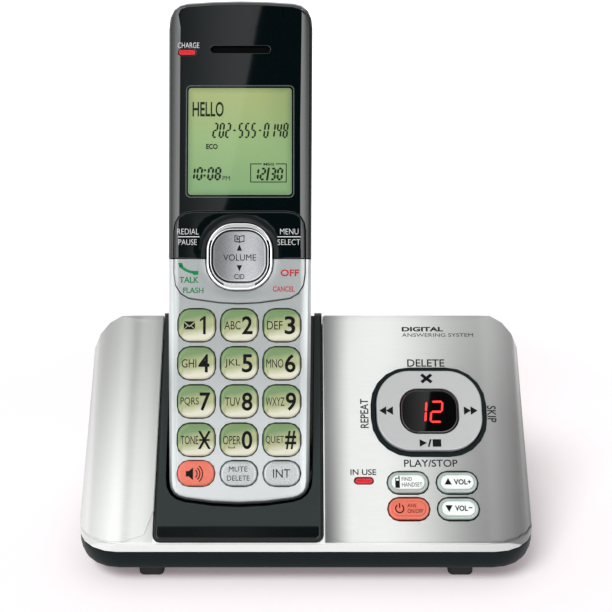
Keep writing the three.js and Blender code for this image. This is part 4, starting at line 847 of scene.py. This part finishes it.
def segment_digits(text, left, low, width, height, pitch, band, slant=0.0):
    """Digits built of straight segments, as on a display; a colon and a slash take half a place."""
    made = []
    x = left
    for sign in text:
        for name in SEGMENTS[sign]:
            (x0, y0), (x1, y1) = [
                (x + band / 2 + px * (width - band), low + band / 2 + py * (height - band) / 2)
                for px, py in STROKES[name]
            ]
            long = math.hypot(x1 - x0, y1 - y0)
            dx, dy = (x1 - x0) / long, (y1 - y0) / long
            gap, half = band * 0.14, band / 2
            spine = [(gap, 0), (gap + half, half), (long - gap - half, half), (long - gap, 0),
                     (long - gap - half, -half), (gap + half, -half)]
            corners = [(x0 + a * dx - b * dy, y0 + a * dy + b * dx) for a, b in spine]
            made.append(plate([(cx + slant * (cy - low), cy) for cx, cy in corners]))
        if sign == ":":
            for share in (0.28, 0.68):
                y = low + height * share
                made.append(bar(x + slant * height * share, x + band + slant * height * share, y, y + band))
        if sign == "/":
            foot, head = x, x + pitch * 0.28
            top = low + height
            made.append(plate([(foot, low), (foot + band, low), (head + band, top), (head, top)]))
        x += pitch * (0.5 if sign in ":/" else 1)
    return made


def printed(name, parts, board, height, body, finish, carrier=None, centre=(0, 0)):
    """Joins flat parts into one thin print that lies at a height of its frame, or on a carrier's surface."""
    piece = joined(*parts)
    piece.name = name
    piece.matrix_world = board @ Matrix.Translation((centre[0] * MM, centre[1] * MM, height * MM))
    bpy.context.view_layer.update()
    if carrier:
        apply_change(
            piece, "SHRINKWRAP", target=carrier, wrap_method="PROJECT", use_project_z=True,
            use_negative_direction=True, use_positive_direction=True, offset=0.01 * MM,
        )
    apply_change(piece, "SOLIDIFY", thickness=size("ink") * MM, offset=1)
    settle(piece, BASE, body, finish)


# Handset keys, row by row: name, letters, where they begin and end, sign, where it begins and ends
DIAL_KEYS = [
    ("key_1", "", None, "1", (1.1, 3.2)),
    ("key_2", "ABC", (-5.0, 0.45), "2", (0.95, 4.5)),
    ("key_3", "DEF", (-5.0, 0.2), "3", (0.9, 4.5)),
    ("key_4", "GHI", (-4.9, 0.0), "4", (0.7, 4.4)),
    ("key_5", "JKL", (-4.8, 0.4), "5", (0.95, 4.5)),
    ("key_6", "MNO", (-5.2, 0.5), "6", (1.0, 4.6)),
    ("key_7", "PQRS", (-5.2, 0.9), "7", (1.2, 4.8)),
    ("key_8", "TUV", (-4.7, 0.45), "8", (0.95, 4.5)),
    ("key_9", "WXYZ", (-5.4, 0.9), "9", (1.3, 4.8)),
    ("key_star", "TONE", (-5.1, 0.8), "*", (1.1, 4.6)),
    ("key_0", "OPER", (-5.3, 0.6), "0", (0.95, 4.5)),
    ("key_pound", "QUIET", (-5.4, 0.7), "#", (1.1, 4.8)),
]
FUNCTION_KEYS = [("speaker_key", "orange_key"), ("mute_delete_key", "grey_key"), ("intercom_key", "grey_key")]

# Base keys: name, place across and along the face, finish of the rim and of the cap
BASE_KEYS = [
    ("find_handset_key", 34.3, 20.5, "rim_plastic", "white_key"),
    ("volume_up_key", 50.8, 20.5, "rim_plastic", "white_key"),
    ("volume_down_key", 50.8, 11.7, "rim_plastic", "white_key"),
    ("answer_on_off_key", 34.3, 11.7, "orange_key", "orange_key"),
]


def key_spot(number):
    """Where the middle of a handset key lies, counted row by row from the one to the intercom key."""
    x = (number % 3 - 1) * size("column_pitch")
    if number >= len(DIAL_KEYS):
        return x, size("function_row")
    return x, size("bottom_row") + (3 - number // 3) * size("row_pitch")


class TELEPHONE_OT_base_shells(bpy.types.Operator):
    """Top shell, bottom shell and the four feet of the base"""

    bl_idname = "telephone.base_shells"
    bl_label = "Base shells"

    def execute(self, context):
        finishes()
        refined("base_top_shell", "silver_plastic", 0.14, weight=50, rolls=True)
        refined("base_bottom_shell", "dark_plastic", 0.25, weight=50)
        for side, x in (("left", -52.4), ("right", 52.4)):
            for end, y in (("front", -39.9), ("back", 39.9)):
                foot = slab(f"foot_{end}_{side}_pad", 8.4, 9, 0, 5.1, radius=1.8, foot=0.9, centre=(x, y))
                settle(soften(foot), BASE, "base", "black_rubber", f"foot_{end}_{side}")
        return {"FINISHED"}


class TELEPHONE_OT_cradle(bpy.types.Operator):
    """Cradle tray with its charging contacts"""

    bl_idname = "telephone.cradle"
    bl_label = "Cradle tray"

    def execute(self, context):
        refined("cradle_tray", "slate_plastic", 0.12)
        for side, x in (("left", -8), ("right", 8)):
            spring = slab(f"charging_contact_{side}_spring", 3, 3, -17, -14, radius=0.5, centre=(x, -3.1))
            settle(soften(spring, 0.2), HANDSET, "base", "contact_metal", f"charging_contact_{side}")
        return {"FINISHED"}


class TELEPHONE_OT_message_ring(bpy.types.Operator):
    """Message ring: black bezel, ring key, counter window and its lit digits"""

    bl_idname = "telephone.message_ring"
    bl_label = "Message ring"

    def execute(self, context):
        x, y = centre = size("ring_x"), size("ring_t")
        width, height = size("ring_width"), size("ring_height")
        bezel = slab("message_bezel", width, height, -3.9, 0.25, radius=13.2, roll=0.2, centre=(x, y - 0.2),
                     steps=24)
        cut(bezel, hole(width - 2.6, height - 2.6, 11.9, centre, steps=24))
        settle(soften(bezel, 0.08), FACE, "base", "dark_plastic", "message_ring_bezel", slot="gloss_black")
        key = slab("ring_key", width - 3.3, height - 3.1, -3.1, size("ring_rise"), radius=11.65, roll=0.55,
                   centre=centre, steps=24)
        middle = (x, y - 0.4)
        width, height = size("window_width"), size("window_height")
        cut(key, hole(width + 0.8, height + 0.8, 6.2, middle, steps=16))
        settle(soften(key, 0.25), FACE, "message_ring_key", "ring_silver", "message_ring_key",
               slot="silver_plastic")
        glass = slab("counter_glass", width, height, -0.4, WINDOW_TOP, radius=5.8, roll=0.5, centre=middle,
                     steps=16)
        settle(soften(glass), FACE, "base", "counter_window", "message_window", slot="gloss_black")
        digits = segment_digits("12", -5.6, -4.1, 4.4, 7.8, 5.5, 0.7, slant=0.09)
        printed("counter_digits", digits, FACE, WINDOW_TOP + CLEAR, "base", "counter_digits", centre=middle)
        return {"FINISHED"}


class TELEPHONE_OT_base_keys(bpy.types.Operator):
    """Four keys under the message ring, each a clear rim and a raised cap, and the in-use light"""

    bl_idname = "telephone.base_keys"
    bl_label = "Base keys"

    def execute(self, context):
        width, height = size("base_key_width"), size("base_key_height")
        end = height * 0.495
        rim = slab("rim", width, height, -3.5, 0.75, radius=end, roll=0.7, steps=14)
        soften(rim)
        cap = slab("cap", width - 2.4, height - 2.2, 0.2, BASE_KEY_TOP, radius=end - 1.1, roll=0.6, steps=14)
        soften(cap)
        for name, x, distance, rim_finish, cap_finish in BASE_KEYS:
            settle(copied(rim, name + "_rim", (x, distance, 0)), FACE, name, rim_finish, name)
            settle(copied(cap, name + "_cap", (x, distance, 0)), FACE, name, cap_finish)
        bpy.data.objects.remove(rim)
        bpy.data.objects.remove(cap)
        light = slab("in_use_lens", 5.8, 1.7, -4, 0.4, radius=0.83, roll=0.38, centre=(19.5, 21.1))
        settle(soften(light), FACE, "base", "red_light", "in_use_light")
        return {"FINISHED"}


class TELEPHONE_OT_sockets(bpy.types.Operator):
    """Line jack with its contact wires, power jack with its pin, and the screws of the underside"""

    bl_idname = "telephone.sockets"
    bl_label = "Sockets and screws"

    def execute(self, context):
        refined("line_jack", "jack_plastic", 0.2)
        refined("power_jack", "jack_plastic", 0.2)
        wires = []
        for number in range(4):
            wire = slab("wire", 0.4, 9.5, -0.15, 0.15)
            wires.append(placed(wire, leaning(-14, 24 + (number - 1.5) * 1.1, 41.8, 20.4)))
        contacts = joined(*wires)
        contacts.name = "line_jack_wires"
        settle(soften(contacts, 0.06), BASE, "base", "contact_metal")
        pin = rod("power_pin", 1.08, 0, 9, roll=0.5)
        settle(soften(pin), leaning(-90, 47, 38.9, 18.4), "base", "steel")
        screw = rod("screw", 2.45, -1.5, 0, roll=0.5)
        soften(cut(screw, slab("slot", 2.9, 0.6, -1, 1), slab("slot", 0.6, 2.9, -1, 1)), 0.06)
        placed(screw, leaning(180, 0, 0, 0))
        for end, y in (("front", -32), ("back", 32)):
            for side, x in (("left", -66.2), ("right", 66.2)):
                settle(copied(screw, f"screw_{end}_{side}", (x, y, 6.1)), BASE, "base", "steel")
        bpy.data.objects.remove(screw)
        return {"FINISHED"}


class TELEPHONE_OT_handset_case(bpy.types.Operator):
    """Case of the handset: black upper front, silver keypad front, back case and battery cover"""

    bl_idname = "telephone.handset_case"
    bl_label = "Handset case"

    def execute(self, context):
        refined("handset_upper_front", "gloss_black", 0.16, fold=0)
        refined("handset_keypad_front", "bright_silver", 0.14, fold=0)
        refined("handset_back_case", "dark_plastic", 0.2)
        refined("battery_cover", "dark_plastic", 0.2)
        mesh = slab("earpiece_cloth", 20.3, 2.3, -1.6, -1.1, radius=1.1, centre=(0, 153.4))
        settle(soften(mesh), HANDSET, "handset", "earpiece_cloth")
        lamp = slab("charge_lens", 5.7, 1.7, -3, 0.25, radius=0.83, roll=0.25, centre=(-18.15, 152.4))
        settle(soften(lamp), HANDSET, "handset", "red_light", "charge_light")
        return {"FINISHED"}


class TELEPHONE_OT_screen(bpy.types.Operator):
    """Screen window with its frame and everything that the screen shows"""

    bl_idname = "telephone.screen"
    bl_label = "Screen"

    def execute(self, context):
        centre = (0, size("screen_centre"))
        width, height = size("screen_width"), size("screen_height")
        window = slab("screen_glass", width - 0.9, height - 1.1, -1, SCREEN_TOP, radius=1.1, roll=0.1,
                      centre=centre)
        settle(soften(window), HANDSET, "handset", "screen_green", "screen_window")
        # Painted shadow: a thin black ring round the window stands for the shade in its gap
        shadow = slab("screen_shadow_line", width + 0.1, height + 0.1, -0.9, 0.03, radius=1.4, centre=centre)
        cut(shadow, hole(width - 0.8, height - 1.0, 1.0, centre, reach=2))
        settle(soften(shadow), HANDSET, "handset", "gloss_black")
        rim = slab("screen_rim", width + 0.8, height + 0.8, -0.9, 0.12, radius=1.7, roll=0.1, centre=centre)
        cut(rim, hole(width + 0.12, height + 0.12, 1.4, centre, reach=2))
        settle(soften(rim, 0.05), HANDSET, "handset", "screen_frame")
        shown = [
            word("HELLO", -16.2, -5.6, 130.2, 135.3, weight=0.016),
            *segment_digits("202-555-0148", -9.6, 122.8, 1.8, 5.3, 2.17, 0.6, slant=0.12),
            word("ECO", -11.5, -7.6, 119.0, 120.8, weight=0.03),
            *segment_digits("10:08", -17.5, 108.3, 2.15, 4.6, 2.5, 0.7, slant=0.1),
            word("PM", -5.9, -3.4, 108.3, 109.8),
            *segment_digits("12/30", 4.2, 108.3, 2.08, 4.4, 2.32, 0.7, slant=0.1),
            bar(3.5, 3.8, 107.6, 114.1), bar(15.6, 15.9, 107.6, 114.1), bar(3.7, 15.8, 107.6, 107.9),
            bar(3.7, 7.4, 113.8, 114.1), bar(12.2, 15.8, 113.8, 114.1),
            word("MSG", 8.0, 11.6, 113.4, 114.3, weight=0.02),
        ]
        printed("screen_signs", shown, HANDSET, SCREEN_TOP + CLEAR, "handset", "screen_ink")
        return {"FINISHED"}


class TELEPHONE_OT_control_cluster(bpy.types.Operator):
    """Two rockers round the chrome ring, and the navigation key in the middle"""

    bl_idname = "telephone.control_cluster"
    bl_label = "Control cluster"

    def execute(self, context):
        refined("redial_menu_rocker", "rocker_black", 0.16, fold=ROCKER_TOP, slot="gloss_black")
        refined("talk_off_rocker", "bright_silver", 0.16, fold=ROCKER_TOP)
        x, y = centre = 0, size("nav_centre")
        width, height = size("nav_ring_width"), size("nav_ring_height")
        ring = slab("nav_chrome_ring", width, height, -3.1, 1.5, radius=9.4, roll=0.8, centre=centre,
                    steps=20, roll_steps=6)
        cut(ring, hole(width - 3.6, height - 4.8, 7.0, centre, steps=20))
        settle(soften(ring, 0.3, segments=3), HANDSET, "handset", "chrome", "nav_ring")
        # Painted reflection: the ring's inlay is silver above and below the key and gloss black at its sides
        inlay = slab("nav_ring_inlay", width - 1.5, height - 1.5, 0.9, 1.53, radius=8.65, centre=centre,
                     steps=20)
        inner = hole(width - 3.0, height - 3.2, 7.7, centre, steps=20)
        zones = [hole(40, 14, centre=(x, y + 12.4)), hole(10.5, 10, centre=(x, y - 11))]
        painted_reflections = []
        for zone in zones:
            light = cut(copied(inlay, "nav_ring_lights"), copied(inner, "opening"))
            painted_reflections.append(cut(light, copied(zone, "zone"), operation="INTERSECT"))
        settle(soften(joined(*painted_reflections)), HANDSET, "handset", "ring_silver", slot="silver_plastic")
        settle(soften(cut(inlay, inner, *zones)), HANDSET, "handset", "gloss_black")
        key = slab("nav_key_cap", width - 4.4, height - 5.6, -3.8, NAV_KEY_TOP, radius=6.6, roll=0.6,
                   centre=centre, steps=18)
        settle(soften(key), HANDSET, "nav_key", "key_silver", "nav_key", slot="silver_plastic")
        return {"FINISHED"}


class TELEPHONE_OT_keypad(bpy.types.Operator):
    """Twelve dial keys and three function keys, each kind modelled once and copied"""

    bl_idname = "telephone.keypad"
    bl_label = "Keypad"

    def execute(self, context):
        for kind, radius, first, keys in (
            ("dial_key", 4, 0, [(name, "lime_key") for name, *_ in DIAL_KEYS]),
            ("function_key", 3.9, len(DIAL_KEYS), FUNCTION_KEYS),
        ):
            cap = slab(kind, size(kind + "_width"), size(kind + "_height"), -2.6, size("key_rise"),
                       radius=radius, roll=size("key_roll"), steps=12, roll_steps=5)
            soften(cap)
            for number, (name, finish) in enumerate(keys, first):
                settle(copied(cap, name + "_cap", (*key_spot(number), 0)), HANDSET, name, finish, name)
            bpy.data.objects.remove(cap)
        return {"FINISHED"}


class TELEPHONE_OT_base_printing(bpy.types.Operator):
    """Legends and signs on the face, the ring key and the four keys of the base"""

    bl_idname = "telephone.base_printing"
    bl_label = "Printing on the base"

    def execute(self, context):
        legends = [
            word("DELETE", 35.5, 48.5, 61.4, 64.1, weight=0.012),
            word("REPEAT", 18.7, 21.5, 39.4, 49.7, turn=90, weight=0.012),
            word("SKIP", 62.5, 65.6, 41.5, 47.4, turn=-90, weight=0.012),
            word("PLAY/STOP", 33.2, 51.3, 25.9, 28.4, weight=0.01),
            word("IN USE", 15.0, 23.7, 23.1, 25.1, weight=0.012),
            word("DIGITAL", 34.0, 48.7, 74.5, 76.2, weight=0.036),
            word("ANSWERING SYSTEM", 34.0, 59.2, 72.5, 73.8),
        ]
        printed("base_legends", legends, FACE, 1, "base", "dark_grey_ink",
                carrier=bpy.data.objects["base_top_shell_skin"])
        signs = [
            plate([(40.35, 58.2), (39.6, 57.4), (43.05, 54.6), (43.8, 55.4)]),
            plate([(39.6, 55.4), (40.35, 54.6), (43.8, 57.4), (43.05, 58.2)]),
            plate([(38.5, 34.9), (38.5, 32.3), (41.0, 33.6)]),
            plate([(41.2, 32.3), (41.8, 32.3), (42.6, 34.9), (42.0, 34.9)]),
            bar(42.9, 45.8, 32.3, 34.9),
        ]
        for tip, foot in ((25.1, 27.5), (27.4, 29.8), (56.5, 54.1), (58.8, 56.4)):
            signs.append(plate([(tip, 44.9), (foot, 46.4), (foot, 43.4)]))
        printed("ring_key_signs", signs, FACE, size("ring_rise") + CLEAR, "message_ring_key", "black_ink")
        signs = {
            "find_handset_key": [
                bar(-4.4, -2.9, -2.0, 0.4), bar(-4.4, -2.9, 1.1, 1.4), bar(-3.3, -2.9, 1.2, 2.1),
                bar(-4.4, -4.1, 0.3, 1.2), bar(-3.2, -2.9, 0.3, 1.2),
                word("FIND", -2.2, 1.2, 0.35, 1.6), word("HANDSET", -2.2, 4.6, -1.6, -0.2),
            ],
            "volume_up_key": [
                plate([(-4.4, -0.9), (-2.0, -0.9), (-3.2, 1.3)]),
                word("VOL+", -1.3, 4.5, -0.9, 0.9, weight=0.03),
            ],
            "volume_down_key": [
                plate([(-4.5, 1.0), (-2.1, 1.0), (-3.3, -1.2)]),
                word("VOL", -1.3, 2.9, -0.9, 0.9, weight=0.03), bar(3.2, 4.4, 0.0, 0.35),
            ],
            "answer_on_off_key": [
                arc_band(-3.2, -0.1, 1.15, 1.55, 125, 415, steps=24), bar(-3.4, -3.0, 0.1, 1.7),
                word("ANS", -0.6, 2.3, 0.35, 1.5), word("ON/OFF", -0.6, 4.6, -1.6, -0.3),
            ],
        }
        for name, x, distance, *_ in BASE_KEYS:
            printed(name + "_sign", signs[name], FACE, BASE_KEY_TOP + CLEAR, name, "black_ink",
                    centre=(x, distance))
        return {"FINISHED"}


def star(left, right):
    """The star sign of a key, between two places across."""
    x, half, stroke = (left + right) / 2, (right - left) / 2, 0.45
    parts = [bar(x - half, x + half, -0.3, 0.3)]
    for lean in (-1.7, 1.7):
        foot, head = x - lean, x + lean
        parts.append(plate([(foot - stroke, -3), (foot + stroke, -3), (head + stroke, 3), (head - stroke, 3)]))
    return parts


class TELEPHONE_OT_handset_printing(bpy.types.Operator):
    """Legends and signs on the handset's front, rockers and keys"""

    bl_idname = "telephone.handset_printing"
    bl_label = "Printing on the handset"

    def execute(self, context):
        charge = [word("CHARGE", -21.4, -14.0, 153.9, 155.8, weight=-0.006)]
        printed("charge_legend", charge, HANDSET, 1, "handset", "white_ink",
                carrier=bpy.data.objects["handset_upper_front_skin"])
        high = ROCKER_TOP + 2 * CLEAR
        upper = [
            word("REDIAL", -21.0, -13.8, 89.8, 91.7, weight=-0.012), bar(-20.8, -13.5, 88.85, 89.1),
            word("PAUSE", -20.6, -14.4, 86.2, 88.1, weight=-0.012),
            word("MENU", 13.7, 19.9, 89.8, 91.7, weight=-0.012), bar(12.8, 20.7, 88.85, 89.1),
            word("SELECT", 12.9, 20.5, 86.2, 88.1, weight=-0.012),
        ]
        printed("redial_menu_legend", upper, HANDSET, high, "redial_menu_rocker", "white_ink")
        talk = [
            arc_band(-14.6, 84.2, 6.9, 7.8, 222, 264, steps=16),
            plate([(-20.7, 80.1), (-19.4, 80.2), (-18.9, 79.0), (-20.2, 78.5)]),
            plate([(-15.9, 77.4), (-15.6, 76.0), (-13.8, 76.1), (-13.9, 77.4)]),
            word("TALK", -20.2, -13.7, 73.4, 75.4, weight=0.02),
            word("FLASH", -19.0, -12.1, 69.9, 71.8, weight=0.014),
        ]
        printed("talk_legend", talk, HANDSET, high, "talk_off_rocker", "green_ink")
        off = [
            word("OFF", 13.9, 20.1, 75.6, 77.9, weight=0.02),
            word("CANCEL", 11.3, 18.6, 70.4, 72.2, weight=0.014),
        ]
        printed("off_legend", off, HANDSET, high, "talk_off_rocker", "red_ink")
        middle = size("nav_centre")
        nav = [
            plate([(-0.9, 84.2), (0.9, 84.2), (0, 86.3)]), plate([(-0.9, 79.3), (0, 77.2), (0.9, 79.3)]),
            word("VOLUME", -5.4, 5.6, middle - 1.5, middle + 0.7),
            word("CID", -1.7, 1.7, 74.6, 76.3, weight=0.008),
            bar(-1.7, -1.4, 87.4, 89.2), bar(1.4, 1.7, 87.4, 89.2), bar(-0.15, 0.15, 87.1, 88.9),
            plate([(-1.1, 88.7), (-0.5, 87.8), (-0.2, 88.0), (-0.8, 88.9)]),
            plate([(-1.1, 88.0), (-0.8, 87.8), (-0.5, 88.2), (-0.7, 88.4)]),
        ]
        for x in (-1.7, 1.7):
            nav += [
                plate([(x, 89.2), (0, 88.9), (0, 89.2), (x, 89.5)]),
                plate([(x, 87.3), (0, 86.9), (0, 87.25), (x, 87.65)]),
            ]
        printed("nav_key_legend", nav, HANDSET, NAV_KEY_TOP + CLEAR, "nav_key", "black_ink")
        top = size("key_rise") + CLEAR
        for number, (name, letters, span, sign, reach) in enumerate(DIAL_KEYS):
            parts = [word(letters, *span, -1.45, 1.4)] if letters else []
            if sign == "*":
                parts += star(*reach)
            elif sign == "1":
                parts += [
                    plate([(2.2, -3.05), (3.1, -3.05), (3.1, 3.05), (2.5, 3.05), (1.1, 1.9), (1.1, 1.2),
                           (2.2, 1.9)]),
                    plate([(-4.3, 1.3), (-0.5, 1.3), (-2.4, -0.2)]),
                    plate([(-4.3, 0.9), (-3.1, -0.1), (-4.3, -1.3)]),
                    plate([(-0.5, 0.9), (-1.7, -0.1), (-0.5, -1.3)]),
                    plate([(-4.1, -1.4), (-2.9, -0.3), (-2.4, -0.6), (-1.9, -0.3), (-0.7, -1.4)]),
                ]
            else:
                parts.append(word(sign, *reach, -3.05, 3.05, weight=0.018))
            if sign == "0":
                parts += [bar(-3.5, -1.3, -2.75, -2.5), bar(-3.5, -3.25, -2.6, -2.1),
                          bar(-1.55, -1.3, -2.6, -2.1)]
            printed(name + "_sign", parts, HANDSET, top, name, "black_ink", centre=key_spot(number))
        waves = [arc_band(-1.2, 0, radius, radius + 0.35, -48, 48) for radius in (1.5, 2.4, 3.3)]
        signs = [
            [bar(-3.3, -2.2, -0.9, 0.9), plate([(-2.3, -0.9), (-0.9, -2.1), (-0.9, 2.1), (-2.3, 0.9)]),
             *waves],
            [word("MUTE", -3.3, 2.9, 0.7, 2.4), word("DELETE", -3.9, 3.6, -2.3, -0.6)],
            [word("INT", -2.9, 2.8, -1.3, 1.5)],
        ]
        for number, parts in enumerate(signs):
            name = FUNCTION_KEYS[number][0]
            spot = key_spot(len(DIAL_KEYS) + number)
            printed(name + "_sign", parts, HANDSET, top, name, "black_ink", centre=spot)
        return {"FINISHED"}


class TELEPHONE_OT_inner_pieces(bpy.types.Operator):
    """Finishes of the pieces inside the base and the handset"""

    bl_idname = "telephone.inner_pieces"
    bl_label = "Inner pieces"

    def execute(self, context):
        dress("black_rubber", "message_ring_mat")
        dress("grey_rubber", "base_key_mat", "handset_key_mat")
        dress("board_laminate", "base_circuit_board", "jack_board", "handset_circuit_board")
        dress("steel", "base_speaker", "microphone", "handset_ringer")
        dress("dark_plastic", "earpiece_receiver")
        dress("red_light", "message_display")
        dress("screen_green", "handset_display")
        dress("battery_sleeve", "battery_pack")
        dress("contact_metal", "charge_pad_left", "charge_pad_right")
        return {"FINISHED"}


def card(name, corners, strength=0.0, fade=None, dim=0.1):
    """A studio card that only reflections see, a black flag where it has no strength. With a fade it grows
    from its dim share of light at the first place across, in millimetres, to all of it at the second."""
    piece = added(name, bpy.ops.mesh.primitive_plane_add, size=1)
    for corner, place in zip((0, 1, 3, 2), corners):
        piece.data.vertices[corner].co = place
    paint = Paint(name)
    shine = WHITE
    if fade:
        shine = paint.blend(paint.step(paint.axes(BASE)[0], *fade), (dim, dim, dim, 1), WHITE)
    paint.shade(
        base_color=BLACK, roughness=1.0, specular_ior_level=0.0, emission_color=shine,
        emission_strength=strength,
    )
    piece.data.materials.append(paint.material)
    for way in ("camera", "diffuse", "transmission", "shadow", "volume_scatter"):
        setattr(piece, "visible_" + way, False)


def mirror_card(name, board, first, second, reach, across, **light):
    """A card whose edge is seen along a line on a polished face, given by two points in millimetres."""
    eye = board.inverted() @ EYE
    eye.z = -eye.z
    eye = board @ eye
    edge = []
    for x, y in (first, second):
        point = board @ Vector((x * MM, y * MM, 0))
        edge.append(eye + (point - eye).normalized() * ((point - eye).length + reach))
    stretch = (edge[0] - edge[1]) * 0.3
    high, low = edge[0] + stretch, edge[1] - stretch
    width = Vector((across, 0, 0))
    card(name, [low, low + width, high + width, high], **light)


def standing(name, first, second, low, high, strength, **light):
    """An upright card between two places on the floor, from one height to another, in metres."""
    card(name, [(*first, low), (*second, low), (*second, high), (*first, high)], strength, **light)


class TELEPHONE_OT_stage(bpy.types.Operator):
    """Pale floor, soft daylight, studio cards and the camera"""

    bl_idname = "telephone.stage"
    bl_label = "Studio"

    def execute(self, context):
        scene = context.scene
        scene.view_settings.view_transform = "Standard"
        floor = added("floor", bpy.ops.mesh.primitive_plane_add, size=8)
        paint = Paint("floor_paper")
        distance = paint.node("VectorMath", {"operation": "LENGTH"}, {0: paint.place(BASE)}, output="Value")
        # Painted light: the floor glows white for the camera far off, faintly mauve near the telephone and its
        # shadow
        glow = paint.blend(paint.step(distance, 170, 420), (0.19, 0.155, 0.165, 1), WHITE)
        paint.shade(
            base_color=paint.varied(colour("floor"), 0.01, paint.noise(BASE, 0.6)), roughness=0.9,
            specular_ior_level=0.0, emission_color=paint.blend(paint.seen(), BLACK, glow),
            emission_strength=1.0,
        )
        floor.data.materials.append(paint.material)
        scene.world = bpy.data.worlds.new("studio")
        air = Paint("studio", scene.world)
        air.shade(color=WHITE, strength=air.node("MapRange", None, {"Value": air.seen(), "To Min": 0.52}))
        bpy.ops.object.light_add(type="SUN", location=(-0.4, -0.5, 0.9))
        sun = context.object
        sun.name = "daylight"
        sun.data.energy = 1.7
        sun.data.angle = math.radians(32)
        sun.rotation_euler = Vector((-0.38, -0.42, 0.82)).to_track_quat("Z", "Y").to_euler()
        sun.visible_glossy = False
        slope = (HANDSET, (6.9, 169), (-5.2, 98), 1.0)
        mirror_card("flag_handset", *slope, 0.34)
        mirror_card("card_handset", *slope, -0.4, strength=0.5, fade=(-190, -70), dim=0.15)
        slope = (FACE, (43.1, 53.4), (40.4, 37.3), 0.8)
        mirror_card("flag_counter", *slope, 0.4)
        mirror_card("card_counter", *slope, -0.4, strength=0.5, fade=(95, 145), dim=0.12)
        standing("flag_right", (0.7, -0.9), (0.7, 0.9), -0.1, 0.9, 0.22)
        standing("strip_left", (-0.66, 0.15), (-0.26, -0.85), 0.05, 1.25, 3.0, fade=(-640, -300), dim=0.08)
        standing("strip_right", (0.13, -0.88), (0.62, 0.15), 0.05, 1.25, 3.0, fade=(600, 170), dim=0.08)
        bpy.ops.object.camera_add(location=EYE, rotation=(math.radians(68), 0, 0))
        camera = context.object
        camera.data.lens = 61.3
        camera.data.sensor_width = 36
        camera.data.clip_start = 0.01
        scene.camera = camera
        return {"FINISHED"}


OPERATORS = [
    TELEPHONE_OT_base_shells, TELEPHONE_OT_cradle, TELEPHONE_OT_message_ring, TELEPHONE_OT_base_keys,
    TELEPHONE_OT_sockets, TELEPHONE_OT_handset_case, TELEPHONE_OT_screen, TELEPHONE_OT_control_cluster,
    TELEPHONE_OT_keypad, TELEPHONE_OT_base_printing, TELEPHONE_OT_handset_printing, TELEPHONE_OT_inner_pieces,
    TELEPHONE_OT_stage,
]


class TELEPHONE_PT_panel(bpy.types.Panel):
    """Lists the telephone's pieces, sizes and colours"""

    bl_idname = "TELEPHONE_PT_panel"
    bl_label = "Telephone"
    bl_space_type = "VIEW_3D"
    bl_region_type = "UI"
    bl_category = "Telephone"

    def draw(self, context):
        for operator in OPERATORS:
            self.layout.operator(operator.bl_idname)
        for group in (context.scene.telephone_sizes, context.scene.telephone_colours):
            box = self.layout.box()
            for name in group.__annotations__:
                box.prop(group, name)


CLASSES = [TelephoneSizes, TelephoneColours, *OPERATORS, TELEPHONE_PT_panel]


def register():
    for each in CLASSES:
        bpy.utils.register_class(each)
    bpy.types.Scene.telephone_sizes = bpy.props.PointerProperty(type=TelephoneSizes)
    bpy.types.Scene.telephone_colours = bpy.props.PointerProperty(type=TelephoneColours)


def unregister():
    del bpy.types.Scene.telephone_colours
    del bpy.types.Scene.telephone_sizes
    for each in reversed(CLASSES):
        bpy.utils.unregister_class(each)


def main():
    register()
    for operator in OPERATORS:
        group, name = operator.bl_idname.split(".")
        getattr(getattr(bpy.ops, group), name)()


if __name__ == "__main__":
    main()
